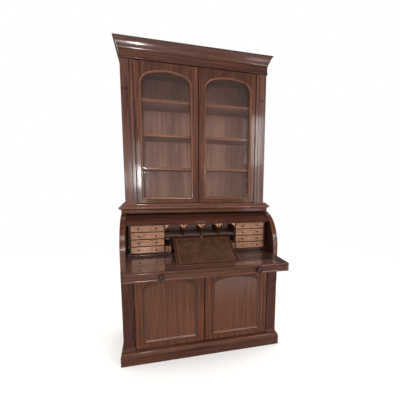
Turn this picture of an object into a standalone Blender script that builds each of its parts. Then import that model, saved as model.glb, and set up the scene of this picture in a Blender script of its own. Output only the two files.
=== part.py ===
import math

import bmesh
import bpy
from mathutils import Matrix, Vector

# A cylinder bureau with a glazed bookcase on top. Metres, +Z up, the front faces -Y.
# Every size is given with the slide in, the fall shut and the slope flat. The carriers set the pose.
# y is 0 at the front of the cupboard doors and grows towards the back.

# Clearances
SEAT = 0.0003
SLIDE_CLEAR = 0.0015
DRAWER_CLEAR = 0.0005
DOOR_GAP = 0.0035
MEETING_GAP = 0.0024
PIN_CLEAR = 0.0004

# Pose in which the object is shown
SLIDE_OUT = 0.272
FALL_TURN = math.radians(58.8)
SLOPE_TILT = math.radians(24.0)
STRUT_TILT = math.radians(49.0)

# Desk carcase
DESK_WIDTH = 1.168
DEPTH = 0.580
SIDE = 0.037
BACK = 0.014
PLINTH_HEIGHT = 0.104
PLINTH_FACE = 0.072
PLINTH_OVERHANG = 0.022
PLINTH_LIP = 0.004
PLINTH_FILLET = 0.006
PLINTH_WALL = 0.030
FRONT_THICKNESS = 0.022
FLOOR_THICKNESS = 0.020
PILASTER_WIDTH = 0.0805
PILASTER_BASE = 0.0127
PILASTER_BASE_PROUD = 0.007
PILASTER_CHAMFER = 0.010
CAPITAL_DROP = 0.1653
CAPITAL_PROUD = 0.003
CAPITAL_CHAMFER = 0.003
BED_THICKNESS = 0.0403
DESK_TOP_THICKNESS = 0.025
DESK_TOP_SETBACK = 0.0295

# Writing slide and slope
SLIDE_TOP = 0.762
SLIDE_HEIGHT = 0.0617
SLIDE_TAIL = 0.034
SLIDE_FLOOR = 0.009
RUNNER = 0.0305
RAIL_DEPTH = 0.022
RAIL_LIFT = 0.0032
RAIL_NOSE = 0.005
RAIL_QUIRK = 0.006
RAIL_FACE = 0.003
RAIL_BEAD = 0.0075
RAIL_STEP = 0.001
SLIDE_KNOB_INSET = 0.224
SLIDE_KNOB_DROP = 0.031
SLIDE_KNOB_REACH = 0.032
SLOPE_Y = 0.109
SLOPE_LENGTH = 0.325
SLOPE_HALF = 0.218
SLOPE_THICKNESS = 0.014
SLOPE_CLEAR = 0.0007
SLOPE_REAR_CLEAR = 0.004
SLOPE_RAIL = 0.030
LEATHER = 0.0015
STRUT_BASE = 0.120
STRUT_HALF = 0.0025
STRUT_WIDTH = 0.060
STRUT_CLEAR = 0.0005
STRUT_ROOM = 0.001

# Cylinder
PIVOT_RISE = 0.042
SIDE_RADIUS = 0.268
FALL_INSET = 0.010
FALL_THICKNESS = 0.022
FALL_LIP_PROUD = 0.004
FALL_CLEAR = 0.0019
FALL_LIP_ARC = math.radians(7.8)
FALL_BEVEL_ARC = math.radians(5.0)
FALL_HIGH = math.radians(90.0)
FALL_END = 0.003
ARM = 0.013
ARM_HALF = 0.025
BOSS = 0.018
PIN = 0.006
PIN_LENGTH = 0.012
FALL_KNOB_ANGLE = math.radians(9.7)
FALL_KNOB_INSET = 0.216

# Nest of drawers
NEST_Y = 0.140
NEST_REAR_CLEAR = 0.011
NEST_FALL_CLEAR = 0.0049
NEST_SLIDE_CLEAR = 0.003
NEST_BACK = 0.009
NEST_BASE = 0.018
NEST_TOP_BOARD = 0.005
NEST_END_GAP = 0.0187
NEST_END_WALL = 0.0105
NEST_INNER_WALL = 0.0057
RECESS_CLEAR = 0.0085
RECESS_HEADROOM = 0.004
COLUMN_WIDTH = 0.0493
COLUMN_CHEEK = 0.005
COLUMN_WALL = 0.0043
COLUMN_CAP = 0.0057
DRAWER_SILL = 0.002
DRAWER_ROWS = 4
DRAWER_SHELF = 0.006
DRAWER_LENGTH = 0.225
DRAWER_FRONT = 0.012
DRAWER_WALL = 0.007
DRAWER_BOTTOM = 0.005
DRAWER_KNOB_SPREAD = 0.062
PEN_HEIGHT = 0.043
SLOT_FLOOR = 0.0065
HOLE_COUNT = 4
HOLE_DIVIDER = 0.006
HOLE_WALL = 0.005
HOLE_FLOOR = 0.007
HOLE_ROOF = 0.006
BRACKET_WIDTH = 0.025
BRACKET_DROP = 0.027
BRACKET_STRIP = 0.006
BRACKET_THICKNESS = 0.005
BRACKET_SET = 0.001

# Waist and bookcase
WAIST_HEIGHT = 0.0444
WAIST_OVERHANG = 0.0175
WAIST_RADIUS = 0.010
WAIST_RISE = 0.015
WAIST_FLAT = 0.002
CASE_INSET = 0.0304
CASE_SETBACK = 0.013
CASE_SIDE = 0.020
CASE_BACK = 0.010
CASE_FLOOR_THICKNESS = 0.020
UPPER_PILASTER = 0.0831
UPPER_CAPITAL_DROP = 0.2019
CAPITAL_GROOVE = 0.003
CAPITAL_GROOVE_DEPTH = 0.002
SHELF_DROP = 0.251
SHELF_PITCH = 0.249
SHELF_THICKNESS = 0.018
SHELF_SETBACK = 0.011
TOTAL_HEIGHT = 2.300
CORNICE_HEIGHT = 0.1308
CORNICE_WALL = 0.025
CORNICE_OVERHANG = 0.0384
ASTRAGAL = 0.008
ASTRAGAL_PROUD = 0.010
FRIEZE_PROUD = 0.004
FRIEZE_TOP = 0.0530
CORNICE_FILLET = 0.008
CORNICE_FILLET_TOP = 0.0588
OGEE_TOP = 0.1188
OGEE_PROUD = 0.034

# Doors: ring is the arched moulding around the pane or the panel
DOOR_TOP_GAP = 0.0034
UPPER_DOOR_LIFT = 0.006
UPPER_MEETING = 0.043
UPPER_STILE = 0.034
UPPER_BOTTOM_RAIL = 0.029
UPPER_TOP_RAIL = 0.0485
UPPER_RING = 0.018
UPPER_PROUD = 0.006
LOWER_DOOR_LIFT = 0.004
LOWER_DOOR_GAP = 0.003
LOWER_MEETING = 0.061
LOWER_STILE = 0.059
LOWER_BOTTOM_RAIL = 0.0397
LOWER_TOP_RAIL = 0.040
LOWER_RING = 0.013
LOWER_PROUD = 0.004
RING_DEPTH = 0.010
RING_LAP = 0.001
ARCH_RISE = 0.090
ARCH_SHOULDER = 0.070
GLASS = 0.003
PANEL = 0.010
MEETING_BEAD = 0.012
BEAD_PROUD = 0.004
BEAD_SHORT = 0.001
BARREL = 0.004
LEAF = 0.0015
LEAF_DEPTH = 0.018
LEAF_SHORT = 0.001
UPPER_HINGE_INSET = 0.100
UPPER_HINGE_LENGTH = 0.064
LOWER_HINGE_INSET = 0.107
LOWER_HINGE_DROP = 0.065
LOWER_HINGE_LENGTH = 0.056

# How far a cutter runs past what it cuts
OVERCUT = 0.05

# Sizes that follow from the ones above
DESK_HALF = DESK_WIDTH / 2
INSIDE = DESK_HALF - SIDE
FITTED = INSIDE - SEAT
BACK_Y = DEPTH - BACK
FITTED_BACK = BACK_Y - SEAT
STAND = PLINTH_HEIGHT + SEAT
BED_TOP = SLIDE_TOP - SLIDE_HEIGHT
CUPBOARD_TOP = BED_TOP - BED_THICKNESS
RAIL_BOTTOM = BED_TOP + RAIL_LIFT
CAPITAL_Z = BED_TOP - CAPITAL_DROP
PIVOT_Y = SIDE_RADIUS
PIVOT_Z = SLIDE_TOP + PIVOT_RISE
DESK_HEIGHT = PIVOT_Z + SIDE_RADIUS
DESK_TOP_Z = DESK_HEIGHT + SEAT
DESK_TOP_FRONT = PIVOT_Y - DESK_TOP_SETBACK
FALL_OUTER = SIDE_RADIUS - FALL_INSET
FALL_INNER = FALL_OUTER - FALL_THICKNESS
FALL_LIP = FALL_OUTER + FALL_LIP_PROUD
FALL_LOW = -math.asin((PIVOT_RISE - FALL_CLEAR) / FALL_LIP)
FALL_LIP_END = FALL_LOW + FALL_LIP_ARC
FALL_INNER_LOW = FALL_LOW + FALL_BEVEL_ARC
SLIDE_HALF = INSIDE - SLIDE_CLEAR
STRUT_Y = SLOPE_Y + STRUT_BASE
STRUT_DROP = SLOPE_THICKNESS + STRUT_ROOM + STRUT_HALF
WELL_DEPTH = STRUT_DROP + STRUT_HALF + STRUT_CLEAR
WELL_REAR = SLOPE_Y + SLOPE_LENGTH + SLOPE_REAR_CLEAR
SLIDE_BOARD = WELL_DEPTH + SLIDE_FLOOR
SLIDE_LENGTH = WELL_REAR + SLIDE_TAIL
NEST_DEPTH = 2 * (PIVOT_Y - NEST_Y) - NEST_REAR_CLEAR
NEST_BOTTOM = SLIDE_TOP + NEST_SLIDE_CLEAR
NEST_BASE_TOP = NEST_BOTTOM + NEST_BASE
NEST_TOP = PIVOT_Z + math.sqrt((FALL_INNER - NEST_FALL_CLEAR) ** 2 - (PIVOT_Y - NEST_Y) ** 2)
NEST_OUTER = FITTED - NEST_END_GAP
RECESS_HALF = SLOPE_HALF + RECESS_CLEAR
NEST_INNER = RECESS_HALF + COLUMN_WIDTH
COLUMN_TOP = SLIDE_TOP + SLOPE_LENGTH * math.sin(SLOPE_TILT) + RECESS_HEADROOM
DRAWER_LOW = NEST_BASE_TOP + DRAWER_SILL
DRAWER_HIGH = NEST_TOP - NEST_TOP_BOARD
DRAWER_X = (NEST_INNER + NEST_INNER_WALL, NEST_OUTER - NEST_END_WALL)
PEN_X = (RECESS_HALF + COLUMN_CHEEK, NEST_INNER - COLUMN_WALL)
PEN_HIGH = DRAWER_LOW + PEN_HEIGHT
SLOT_Z = (PEN_HIGH + SLOT_FLOOR, COLUMN_TOP - COLUMN_CAP)
HOLE_Z = (COLUMN_TOP + SEAT + HOLE_FLOOR, NEST_TOP - HOLE_ROOF)
CASE_BASE = DESK_TOP_Z + DESK_TOP_THICKNESS + SEAT
CASE_HALF = DESK_HALF - CASE_INSET
CASE_FRONT = DESK_TOP_FRONT + CASE_SETBACK
CASE_FITTED = CASE_HALF - CASE_SIDE - SEAT
CASE_BACK_Y = DEPTH - CASE_BACK
BEHIND_DOOR = CASE_FRONT + FRONT_THICKNESS + SEAT
WAIST_TOP = CASE_BASE + WAIST_HEIGHT
CORNICE_BASE = TOTAL_HEIGHT - CORNICE_HEIGHT
CASE_TOP = CORNICE_BASE - SEAT
SHELF_TOPS = tuple(CASE_TOP - SHELF_DROP - i * SHELF_PITCH for i in (2, 1, 0))
SHELF_FRONT = BEHIND_DOOR + SHELF_SETBACK
LOWER_HINGE_X = DESK_HALF - PILASTER_WIDTH - DOOR_GAP / 2
UPPER_HINGE_X = CASE_HALF - UPPER_PILASTER - DOOR_GAP / 2
LOWER_EDGE = LOWER_HINGE_X - DOOR_GAP / 2
UPPER_EDGE = UPPER_HINGE_X - DOOR_GAP / 2
UPPER_DOOR_Z = (WAIST_TOP + UPPER_DOOR_LIFT, CASE_TOP - DOOR_TOP_GAP)
UPPER_RING_X = (UPPER_MEETING, UPPER_EDGE - UPPER_STILE)
UPPER_RING_Z = (UPPER_DOOR_Z[0] + UPPER_BOTTOM_RAIL, UPPER_DOOR_Z[1] - UPPER_TOP_RAIL)
LOWER_DOOR_Z = (STAND + LOWER_DOOR_LIFT, CUPBOARD_TOP - LOWER_DOOR_GAP)
LOWER_RING_X = (LOWER_MEETING, LOWER_EDGE - LOWER_STILE)
LOWER_RING_Z = (LOWER_DOOR_Z[0] + LOWER_BOTTOM_RAIL, LOWER_DOOR_Z[1] - LOWER_TOP_RAIL)
UPPER_HINGES = (UPPER_DOOR_Z[0] + UPPER_HINGE_INSET, UPPER_DOOR_Z[1] - UPPER_HINGE_INSET)
LOWER_HINGES = (LOWER_DOOR_Z[0] + LOWER_HINGE_INSET, CAPITAL_Z - LOWER_HINGE_DROP)

# Colour, roughness, metallic, opacity
FINISHES = {
    "mahogany": ((0.090, 0.030, 0.014), 0.30, 0.0, 1.0),
    "red_mahogany": ((0.150, 0.045, 0.020), 0.28, 0.0, 1.0),
    "inside": ((0.060, 0.028, 0.016), 0.55, 0.0, 1.0),
    "satinwood": ((0.330, 0.170, 0.075), 0.40, 0.0, 1.0),
    "leather": ((0.100, 0.065, 0.035), 0.55, 0.0, 1.0),
    "glass": ((0.800, 0.850, 0.840), 0.05, 0.0, 0.35),
    "brass": ((0.400, 0.270, 0.100), 0.35, 1.0, 1.0),
}

for old in list(bpy.data.objects):
    bpy.data.objects.remove(old, do_unlink=True)

parts = bpy.data.collections.new("bureau_bookcase")
cutters = bpy.data.collections.new("cutters")
bpy.context.scene.collection.children.link(parts)
bpy.context.scene.collection.children.link(cutters)
homes = {}


def material_for(name, kind):
    colour, roughness, metallic, opacity = FINISHES[kind]
    surface = bpy.data.materials.new(name)
    surface.use_nodes = True
    shader = surface.node_tree.nodes["Principled BSDF"]
    shader.inputs["Base Color"].default_value = (*colour, 1.0)
    shader.inputs["Roughness"].default_value = roughness
    shader.inputs["Metallic"].default_value = metallic
    shader.inputs["Alpha"].default_value = opacity
    surface.diffuse_color = (*colour, opacity)
    return surface


def adopt(shape, name, kind):
    # A shape without a finish is a cutter
    shape.name = name
    shape.data.name = name
    for group in list(shape.users_collection):
        group.objects.unlink(shape)
    if kind is None:
        cutters.objects.link(shape)
        shape.hide_render = True
        shape.display_type = "WIRE"
    else:
        parts.objects.link(shape)
        shape.data.materials.append(material_for(name, kind))
    return shape


def board(name, kind, x, y, z):
    centre = ((x[0] + x[1]) / 2, (y[0] + y[1]) / 2, (z[0] + z[1]) / 2)
    size = (abs(x[1] - x[0]), abs(y[1] - y[0]), abs(z[1] - z[0]))
    bpy.ops.mesh.primitive_cube_add(size=1.0, location=centre)
    shape = bpy.context.object
    shape.data.transform(Matrix.Diagonal((*size, 1.0)))
    return adopt(shape, name, kind)


def prism(name, kind, axis, low, high, outlines):
    # Flat outlines, the first one outside and the rest holes, given thickness along one axis
    curve = bpy.data.curves.new(name, "CURVE")
    curve.dimensions = "2D"
    curve.fill_mode = "BOTH"
    curve.extrude = abs(high - low) / 2
    for outline in outlines:
        spline = curve.splines.new("POLY")
        spline.points.add(len(outline) - 1)
        for point, (across, up) in zip(spline.points, outline):
            point.co = (across, up, 0.0, 1.0)
        spline.use_cyclic_u = True
    guide = bpy.data.objects.new(name + "_outline", curve)
    bpy.context.scene.collection.objects.link(guide)
    middle = (low + high) / 2
    turn = math.pi / 2
    if axis == "X":
        guide.rotation_euler = (turn, 0.0, turn)
        guide.location = (middle, 0.0, 0.0)
    elif axis == "Y":
        guide.rotation_euler = (turn, 0.0, 0.0)
        guide.location = (0.0, middle, 0.0)
    else:
        guide.location = (0.0, 0.0, middle)
    bpy.context.view_layer.update()
    mesh = bpy.data.meshes.new_from_object(guide)
    weld(mesh)
    shape = bpy.data.objects.new(name, mesh)
    bpy.context.scene.collection.objects.link(shape)
    shape.matrix_world = guide.matrix_world
    bpy.data.objects.remove(guide, do_unlink=True)
    return adopt(shape, name, kind)


def weld(mesh):
    work = bmesh.new()
    work.from_mesh(mesh)
    bmesh.ops.remove_doubles(work, verts=work.verts, dist=0.00001)
    work.to_mesh(mesh)
    work.free()


def rod(name, kind, axis, centre, radius, length, sides=16):
    turn = {"X": (0.0, math.pi / 2, 0.0), "Y": (math.pi / 2, 0.0, 0.0), "Z": (0.0, 0.0, 0.0)}
    bpy.ops.mesh.primitive_cylinder_add(
        vertices=sides, radius=radius, depth=length, location=centre, rotation=turn[axis])
    return adopt(bpy.context.object, name, kind)


def turned(name, kind, foot, tilt, profile, steps=16):
    # A turned knob: its foot stands on the surface and the profile runs from the tip down
    mesh = bpy.data.meshes.new(name)
    points = [(radius, 0.0, reach) for radius, reach in profile]
    links = [(i, i + 1) for i in range(len(points) - 1)]
    mesh.from_pydata(points, links, [])
    shape = bpy.data.objects.new(name, mesh)
    bpy.context.scene.collection.objects.link(shape)
    shape.location = foot
    shape.rotation_euler = (tilt, 0.0, 0.0)
    screw = shape.modifiers.new("turning", "SCREW")
    screw.axis = "Z"
    screw.angle = 2 * math.pi
    screw.steps = steps
    screw.render_steps = steps
    screw.use_merge_vertices = True
    screw.merge_threshold = 0.00005
    screw.use_smooth_shade = False
    return adopt(shape, name, kind)


def combine(piece, tool, operation):
    tool.parent = piece
    tool.matrix_parent_inverse = piece.matrix_basis.inverted()
    step = piece.modifiers.new(tool.name, "BOOLEAN")
    step.operation = operation
    step.solver = "EXACT"
    step.object = tool


def cut(piece, tool):
    combine(piece, tool, "DIFFERENCE")


def join(piece, tool):
    combine(piece, tool, "UNION")


def arc(centre, radius, start, end, steps):
    points = []
    for i in range(steps + 1):
        angle = start + (end - start) * i / steps
        points.append((centre[0] + radius * math.cos(angle), centre[1] + radius * math.sin(angle)))
    return points


def sweep(radius, start, end, steps):
    # Points around the cylinder's pivot; the angle rises from the front
    return arc((PIVOT_Y, PIVOT_Z), radius, math.pi - start, math.pi - end, steps)


def arched(x, z, inset):
    # Square below, a basket arch above: two tight shoulders and a flat crown
    middle = (x[0] + x[1]) / 2
    half = (x[1] - x[0]) / 2
    spring = z[1] - ARCH_RISE
    reach = half - ARCH_SHOULDER
    excess = half ** 2 + ARCH_RISE ** 2 - 2 * half * ARCH_SHOULDER
    crown = excess / (2 * (ARCH_RISE - ARCH_SHOULDER))
    lean = math.atan2(reach, crown - ARCH_RISE)
    top = math.pi / 2
    tight = ARCH_SHOULDER - inset
    right = arc((middle + reach, spring), tight, 0.0, top - lean, 7)
    over = arc((middle, z[1] - crown), crown - inset, top - lean, top + lean, 12)
    left = arc((middle - reach, spring), tight, top + lean, math.pi, 7)
    low = z[0] + inset
    feet = [(middle - half + inset, low), (middle + half - inset, low)]
    return feet + right + over[1:-1] + left


def signed(side, pair):
    return tuple(sorted((side * pair[0], side * pair[1])))


def box_outline(x, z):
    return [(x[0], z[0]), (x[1], z[0]), (x[1], z[1]), (x[0], z[1])]


def carrier(name, home, parent):
    # An empty on a joint's axis; what hangs on it keeps its own sizes
    empty = bpy.data.objects.new(name, None)
    parts.objects.link(empty)
    empty.empty_display_size = 0.05
    homes[name] = Vector(home)
    if parent is not None:
        empty.parent = parent
        empty.location = Vector(home) - homes[parent.name]
    return empty


def hang(parent, *pieces):
    for piece in pieces:
        piece.parent = parent
        piece.matrix_parent_inverse = Matrix.Translation(-homes[parent.name])


# Carriers. The root puts the middle of the whole depth, slide knobs included, at y 0.
root = carrier("root", (0.0, 0.0, 0.0), None)
root.location = (0.0, (SLIDE_OUT + SLIDE_KNOB_REACH - DEPTH) / 2, 0.0)
slide = carrier("slide_carrier", (0.0, 0.0, 0.0), root)
slide.location.y = -SLIDE_OUT
fall = carrier("fall_carrier", (0.0, PIVOT_Y, PIVOT_Z), root)
fall.rotation_euler.x = -FALL_TURN
slope = carrier("slope_carrier", (0.0, SLOPE_Y, SLIDE_TOP), slide)
slope.rotation_euler.x = SLOPE_TILT
strut = carrier("strut_carrier", (0.0, STRUT_Y, SLIDE_TOP - STRUT_DROP), slide)
strut.rotation_euler.x = STRUT_TILT

# Plinth: a moulded frame, mitred by meeting two lengths of the same profile
plinth_curve = arc((0.0, 0.0), 1.0, 0.0, math.pi / 2, 8)
plinth_drop = PLINTH_HEIGHT - PLINTH_FILLET - PLINTH_FACE
plinth_face = [(PLINTH_OVERHANG, 0.0)]
for out, up in plinth_curve:
    step_in = PLINTH_LIP + (PLINTH_OVERHANG - PLINTH_LIP) * out
    plinth_face.append((step_in, PLINTH_FACE + plinth_drop * up))
plinth_face.append((PLINTH_LIP, PLINTH_HEIGHT))


def mitred(name, kind, profile, front, half):
    # The profile lists (outward offset, height) from the bottom up
    face = [(front - out, up) for out, up in profile]
    face += [(DEPTH, profile[-1][1]), (DEPTH, profile[0][1])]
    span = half + profile[0][0] + 4 * OVERCUT
    piece = prism(name, kind, "X", -span, span, [face])
    ends = [(half + out, up) for out, up in profile]
    ends += [(-half - out, up) for out, up in reversed(profile)]
    join_ends = prism(name + "_ends", None, "Y", front - 4 * OVERCUT, DEPTH + OVERCUT, [ends])
    combine(piece, join_ends, "INTERSECT")
    return piece


plinth = mitred("plinth", "mahogany", plinth_face, 0.0, DESK_HALF)
plinth_inside = DESK_HALF + PLINTH_OVERHANG - 2 * PLINTH_WALL
cut(plinth, board("plinth_hollow", None, (-plinth_inside, plinth_inside),
                  (PLINTH_WALL, DEPTH - PLINTH_WALL), (-OVERCUT, PLINTH_HEIGHT + OVERCUT)))
hang(root, plinth)

# Desk carcase
hang(root, board("cupboard_floor", "inside", (-FITTED, FITTED),
                 (FRONT_THICKNESS + 3 * SEAT, FITTED_BACK), (STAND, STAND + FLOOR_THICKNESS)))
hang(root, board("desk_back", "inside", (-FITTED, FITTED), (BACK_Y, DEPTH), (STAND, DESK_HEIGHT)))
pilaster_in = DESK_HALF - PILASTER_WIDTH
bed_y = FRONT_THICKNESS + 2 * SEAT
tongue = pilaster_in - SEAT
hang(root, prism("slide_bed", "mahogany", "Z", CUPBOARD_TOP, BED_TOP, [[
    (-tongue, 0.0), (tongue, 0.0), (tongue, bed_y), (FITTED, bed_y), (FITTED, FITTED_BACK),
    (-FITTED, FITTED_BACK), (-FITTED, bed_y), (-tongue, bed_y)]]))
side_outline = [(bed_y, STAND), (bed_y, BED_TOP + SEAT), (0.0, BED_TOP + SEAT)]
side_outline += sweep(SIDE_RADIUS, 0.0, math.pi / 2, 28)
side_outline += [(DEPTH, DESK_HEIGHT), (DEPTH, STAND)]
base_top = STAND + PILASTER_BASE
pilaster_outline = [
    (FRONT_THICKNESS, STAND), (-PILASTER_BASE_PROUD, STAND), (-PILASTER_BASE_PROUD, base_top),
    (0.0, base_top + PILASTER_CHAMFER), (0.0, CAPITAL_Z), (-CAPITAL_PROUD, CAPITAL_Z + CAPITAL_CHAMFER),
    (-CAPITAL_PROUD, BED_TOP), (FRONT_THICKNESS, BED_TOP)]
for end, side in (("left", -1), ("right", 1)):
    panel_x = signed(side, (INSIDE, DESK_HALF))
    cheek = prism("desk_side_" + end, "mahogany", "X", *panel_x, [side_outline])
    cut(cheek, rod("pin_hole_" + end, None, "X", (side * INSIDE, PIVOT_Y, PIVOT_Z),
                   PIN + PIN_CLEAR, 2 * (PIN_LENGTH + SEAT)))
    column_x = signed(side, (pilaster_in, DESK_HALF))
    column = prism("lower_pilaster_" + end, "mahogany", "X", *column_x, [pilaster_outline])
    hang(root, cheek, column)
hang(root, board("desk_top", "mahogany", (-DESK_HALF, DESK_HALF), (DESK_TOP_FRONT, DEPTH),
                 (DESK_TOP_Z, DESK_TOP_Z + DESK_TOP_THICKNESS)))

# Waist: a nosed collar that holds the bookcase in place
nose = (WAIST_OVERHANG - WAIST_RADIUS, CASE_BASE + WAIST_RISE)
waist_face = [(0.0, CASE_BASE)]
waist_face += arc(nose, WAIST_RADIUS, math.radians(-75.0), math.radians(80.0), 10)
waist_face.append((SEAT + WAIST_FLAT - CASE_SETBACK, WAIST_TOP))
waist = mitred("waist_moulding", "mahogany", waist_face, DESK_TOP_FRONT, DESK_HALF)
case_hole = CASE_HALF + SEAT
cut(waist, board("waist_hollow", None, (-case_hole, case_hole), (CASE_FRONT - SEAT, DEPTH + OVERCUT),
                 (CASE_BASE - OVERCUT, WAIST_TOP + OVERCUT)))
hang(root, waist)

# Bookcase carcase
hang(root, board("bookcase_floor", "mahogany", (-CASE_FITTED, CASE_FITTED),
                 (BEHIND_DOOR, CASE_BACK_Y - SEAT), (WAIST_TOP - CASE_FLOOR_THICKNESS, WAIST_TOP)))
hang(root, board("bookcase_top", "mahogany", (-CASE_FITTED, CASE_FITTED),
                 (BEHIND_DOOR, CASE_BACK_Y - SEAT), (CASE_TOP - FLOOR_THICKNESS, CASE_TOP)))
hang(root, board("bookcase_back", "mahogany", (-CASE_FITTED, CASE_FITTED),
                 (CASE_BACK_Y, DEPTH), (CASE_BASE, CASE_TOP)))
upper_in = CASE_HALF - UPPER_PILASTER
groove = CASE_TOP - UPPER_CAPITAL_DROP
upper_back = CASE_FRONT + FRONT_THICKNESS
upper_outline = [
    (upper_back, CASE_BASE), (CASE_FRONT, CASE_BASE), (CASE_FRONT, groove - CAPITAL_GROOVE),
    (CASE_FRONT + CAPITAL_GROOVE_DEPTH, groove), (CASE_FRONT, groove + CAPITAL_GROOVE),
    (CASE_FRONT, CASE_TOP), (upper_back, CASE_TOP)]
for end, side in (("left", -1), ("right", 1)):
    hang(root, board("bookcase_side_" + end, "mahogany", signed(side, (CASE_HALF - CASE_SIDE, CASE_HALF)),
                     (BEHIND_DOOR, DEPTH), (CASE_BASE, CASE_TOP)))
    hang(root, prism("upper_pilaster_" + end, "mahogany", "X", *signed(side, (upper_in, CASE_HALF)),
                     [upper_outline]))
for level, top in zip(("lower", "middle", "upper"), SHELF_TOPS):
    hang(root, board("shelf_" + level, "mahogany", (-CASE_FITTED, CASE_FITTED),
                     (SHELF_FRONT, CASE_BACK_Y - SEAT), (top - SHELF_THICKNESS, top)))

# Cornice: bead, plain frieze, fillet, ogee and top fillet
bead = ASTRAGAL / 2
cornice_face = [(ASTRAGAL_PROUD - bead, CORNICE_BASE)]
cornice_face += arc((ASTRAGAL_PROUD - bead, CORNICE_BASE + bead), bead, -math.pi / 2, math.pi / 2, 6)[1:]
cornice_face += [(FRIEZE_PROUD, CORNICE_BASE + ASTRAGAL), (FRIEZE_PROUD, CORNICE_BASE + FRIEZE_TOP),
                 (CORNICE_FILLET, CORNICE_BASE + FRIEZE_TOP + SEAT),
                 (CORNICE_FILLET, CORNICE_BASE + CORNICE_FILLET_TOP)]
for i in range(1, 9):
    rise = i / 8
    swell = rise - 0.14 * math.sin(2 * math.pi * rise)
    out = CORNICE_FILLET + (OGEE_PROUD - CORNICE_FILLET) * (1.6 * rise - 0.6 * swell)
    cornice_face.append((out, CORNICE_BASE + CORNICE_FILLET_TOP + (OGEE_TOP - CORNICE_FILLET_TOP) * swell))
cornice_face += [(CORNICE_OVERHANG, CORNICE_BASE + OGEE_TOP + SEAT), (CORNICE_OVERHANG, TOTAL_HEIGHT)]
cornice = mitred("cornice", "mahogany", cornice_face, CASE_FRONT, CASE_HALF)
cornice_in = CASE_HALF - CORNICE_WALL
cut(cornice, board("cornice_hollow", None, (-cornice_in, cornice_in),
                   (CASE_FRONT + CORNICE_WALL, DEPTH - CORNICE_WALL),
                   (CORNICE_BASE - OVERCUT, TOTAL_HEIGHT + OVERCUT)))
hang(root, cornice)


def door(level, end, side, face, x_edge, z, ring_x, ring_z, ring, proud):
    frame_x = signed(side, (MEETING_GAP / 2, x_edge))
    around = signed(side, ring_x)
    frame = prism(level + "_door_" + end, "mahogany", "Y", face, face + FRONT_THICKNESS,
                  [box_outline(frame_x, z), arched(around, ring_z, ring)])
    cut(frame, prism(level + "_rebate_" + end, None, "Y", face + RING_DEPTH, face + FRONT_THICKNESS + OVERCUT,
                     [arched(around, ring_z, RING_LAP)]))
    moulding = prism(level + "_ring_" + end, None, "Y", face - proud, face + RING_DEPTH / 2,
                     [arched(around, ring_z, 0.0), arched(around, ring_z, ring - SEAT)])
    join(frame, moulding)
    if side > 0:
        bead = board(level + "_bead", None, (MEETING_GAP / 2 + SEAT, MEETING_GAP / 2 + MEETING_BEAD),
                     (face - BEAD_PROUD, face + RING_DEPTH / 2), (z[0] + BEAD_SHORT, z[1] - BEAD_SHORT))
        join(frame, bead)
    fill_y = face + RING_DEPTH + SEAT
    fill_outline = [arched(around, ring_z, RING_LAP + SEAT)]
    if level == "upper":
        fill = prism("glass_" + end, "glass", "Y", fill_y, fill_y + GLASS, fill_outline)
    else:
        fill = prism("panel_" + end, "mahogany", "Y", fill_y, fill_y + PANEL, fill_outline)
    return frame, fill


def hinge(name, side, x, face, middle, length):
    barrel_y = face - BARREL - DRAWER_CLEAR
    piece = rod(name, "brass", "Z", (side * x, barrel_y, middle), BARREL, length, 12)
    leaf = board(name + "_leaf", None, (side * x - LEAF / 2, side * x + LEAF / 2),
                 (barrel_y, face + LEAF_DEPTH),
                 (middle - length / 2 + LEAF_SHORT, middle + length / 2 - LEAF_SHORT))
    join(piece, leaf)
    return piece


# Doors: each hangs on its own carrier at the hinge barrels
for end, side in (("left", -1), ("right", 1)):
    upper = carrier("upper_carrier_" + end,
                    (side * UPPER_HINGE_X, CASE_FRONT - BARREL - DRAWER_CLEAR, UPPER_DOOR_Z[0]), root)
    hang(upper, *door("upper", end, side, CASE_FRONT, UPPER_EDGE, UPPER_DOOR_Z,
                      UPPER_RING_X, UPPER_RING_Z, UPPER_RING, UPPER_PROUD))
    lower = carrier("lower_carrier_" + end,
                    (side * LOWER_HINGE_X, -BARREL - DRAWER_CLEAR, LOWER_DOOR_Z[0]), root)
    hang(lower, *door("lower", end, side, 0.0, LOWER_EDGE, LOWER_DOOR_Z,
                      LOWER_RING_X, LOWER_RING_Z, LOWER_RING, LOWER_PROUD))
    for place, height in zip(("bottom", "top"), UPPER_HINGES):
        hang(upper, hinge("upper_hinge_" + end + "_" + place, side, UPPER_HINGE_X, CASE_FRONT,
                          height, UPPER_HINGE_LENGTH))
    for place, height in zip(("bottom", "top"), LOWER_HINGES):
        hang(lower, hinge("lower_hinge_" + end + "_" + place, side, LOWER_HINGE_X, 0.0,
                          height, LOWER_HINGE_LENGTH))

# Cylinder fall: a curved shell with a lip, end arms and pivot pins
fall_half = INSIDE - FALL_END
shell = sweep(FALL_LIP, FALL_LOW, FALL_LIP_END, 3)
shell += sweep(FALL_OUTER, FALL_LIP_END, FALL_HIGH, 24)
shell += sweep(FALL_INNER, FALL_HIGH, FALL_INNER_LOW, 24)
cylinder_fall = prism("cylinder_fall", "mahogany", "X", -fall_half, fall_half, [shell])
arm_angle = (FALL_LOW + FALL_HIGH) / 2
arm_way = Vector((-math.cos(arm_angle), math.sin(arm_angle)))
arm_across = Vector((-arm_way.y, arm_way.x))
pivot = Vector((PIVOT_Y, PIVOT_Z))
rim = pivot + arm_way * (FALL_INNER + FALL_OUTER) / 2
heading = math.atan2(arm_way.y, arm_way.x)
arm_outline = arc((PIVOT_Y, PIVOT_Z), BOSS, heading + math.pi / 2, heading + 1.5 * math.pi, 8)
arm_outline += [tuple(rim - arm_across * ARM_HALF), tuple(rim + arm_across * ARM_HALF)]
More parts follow.
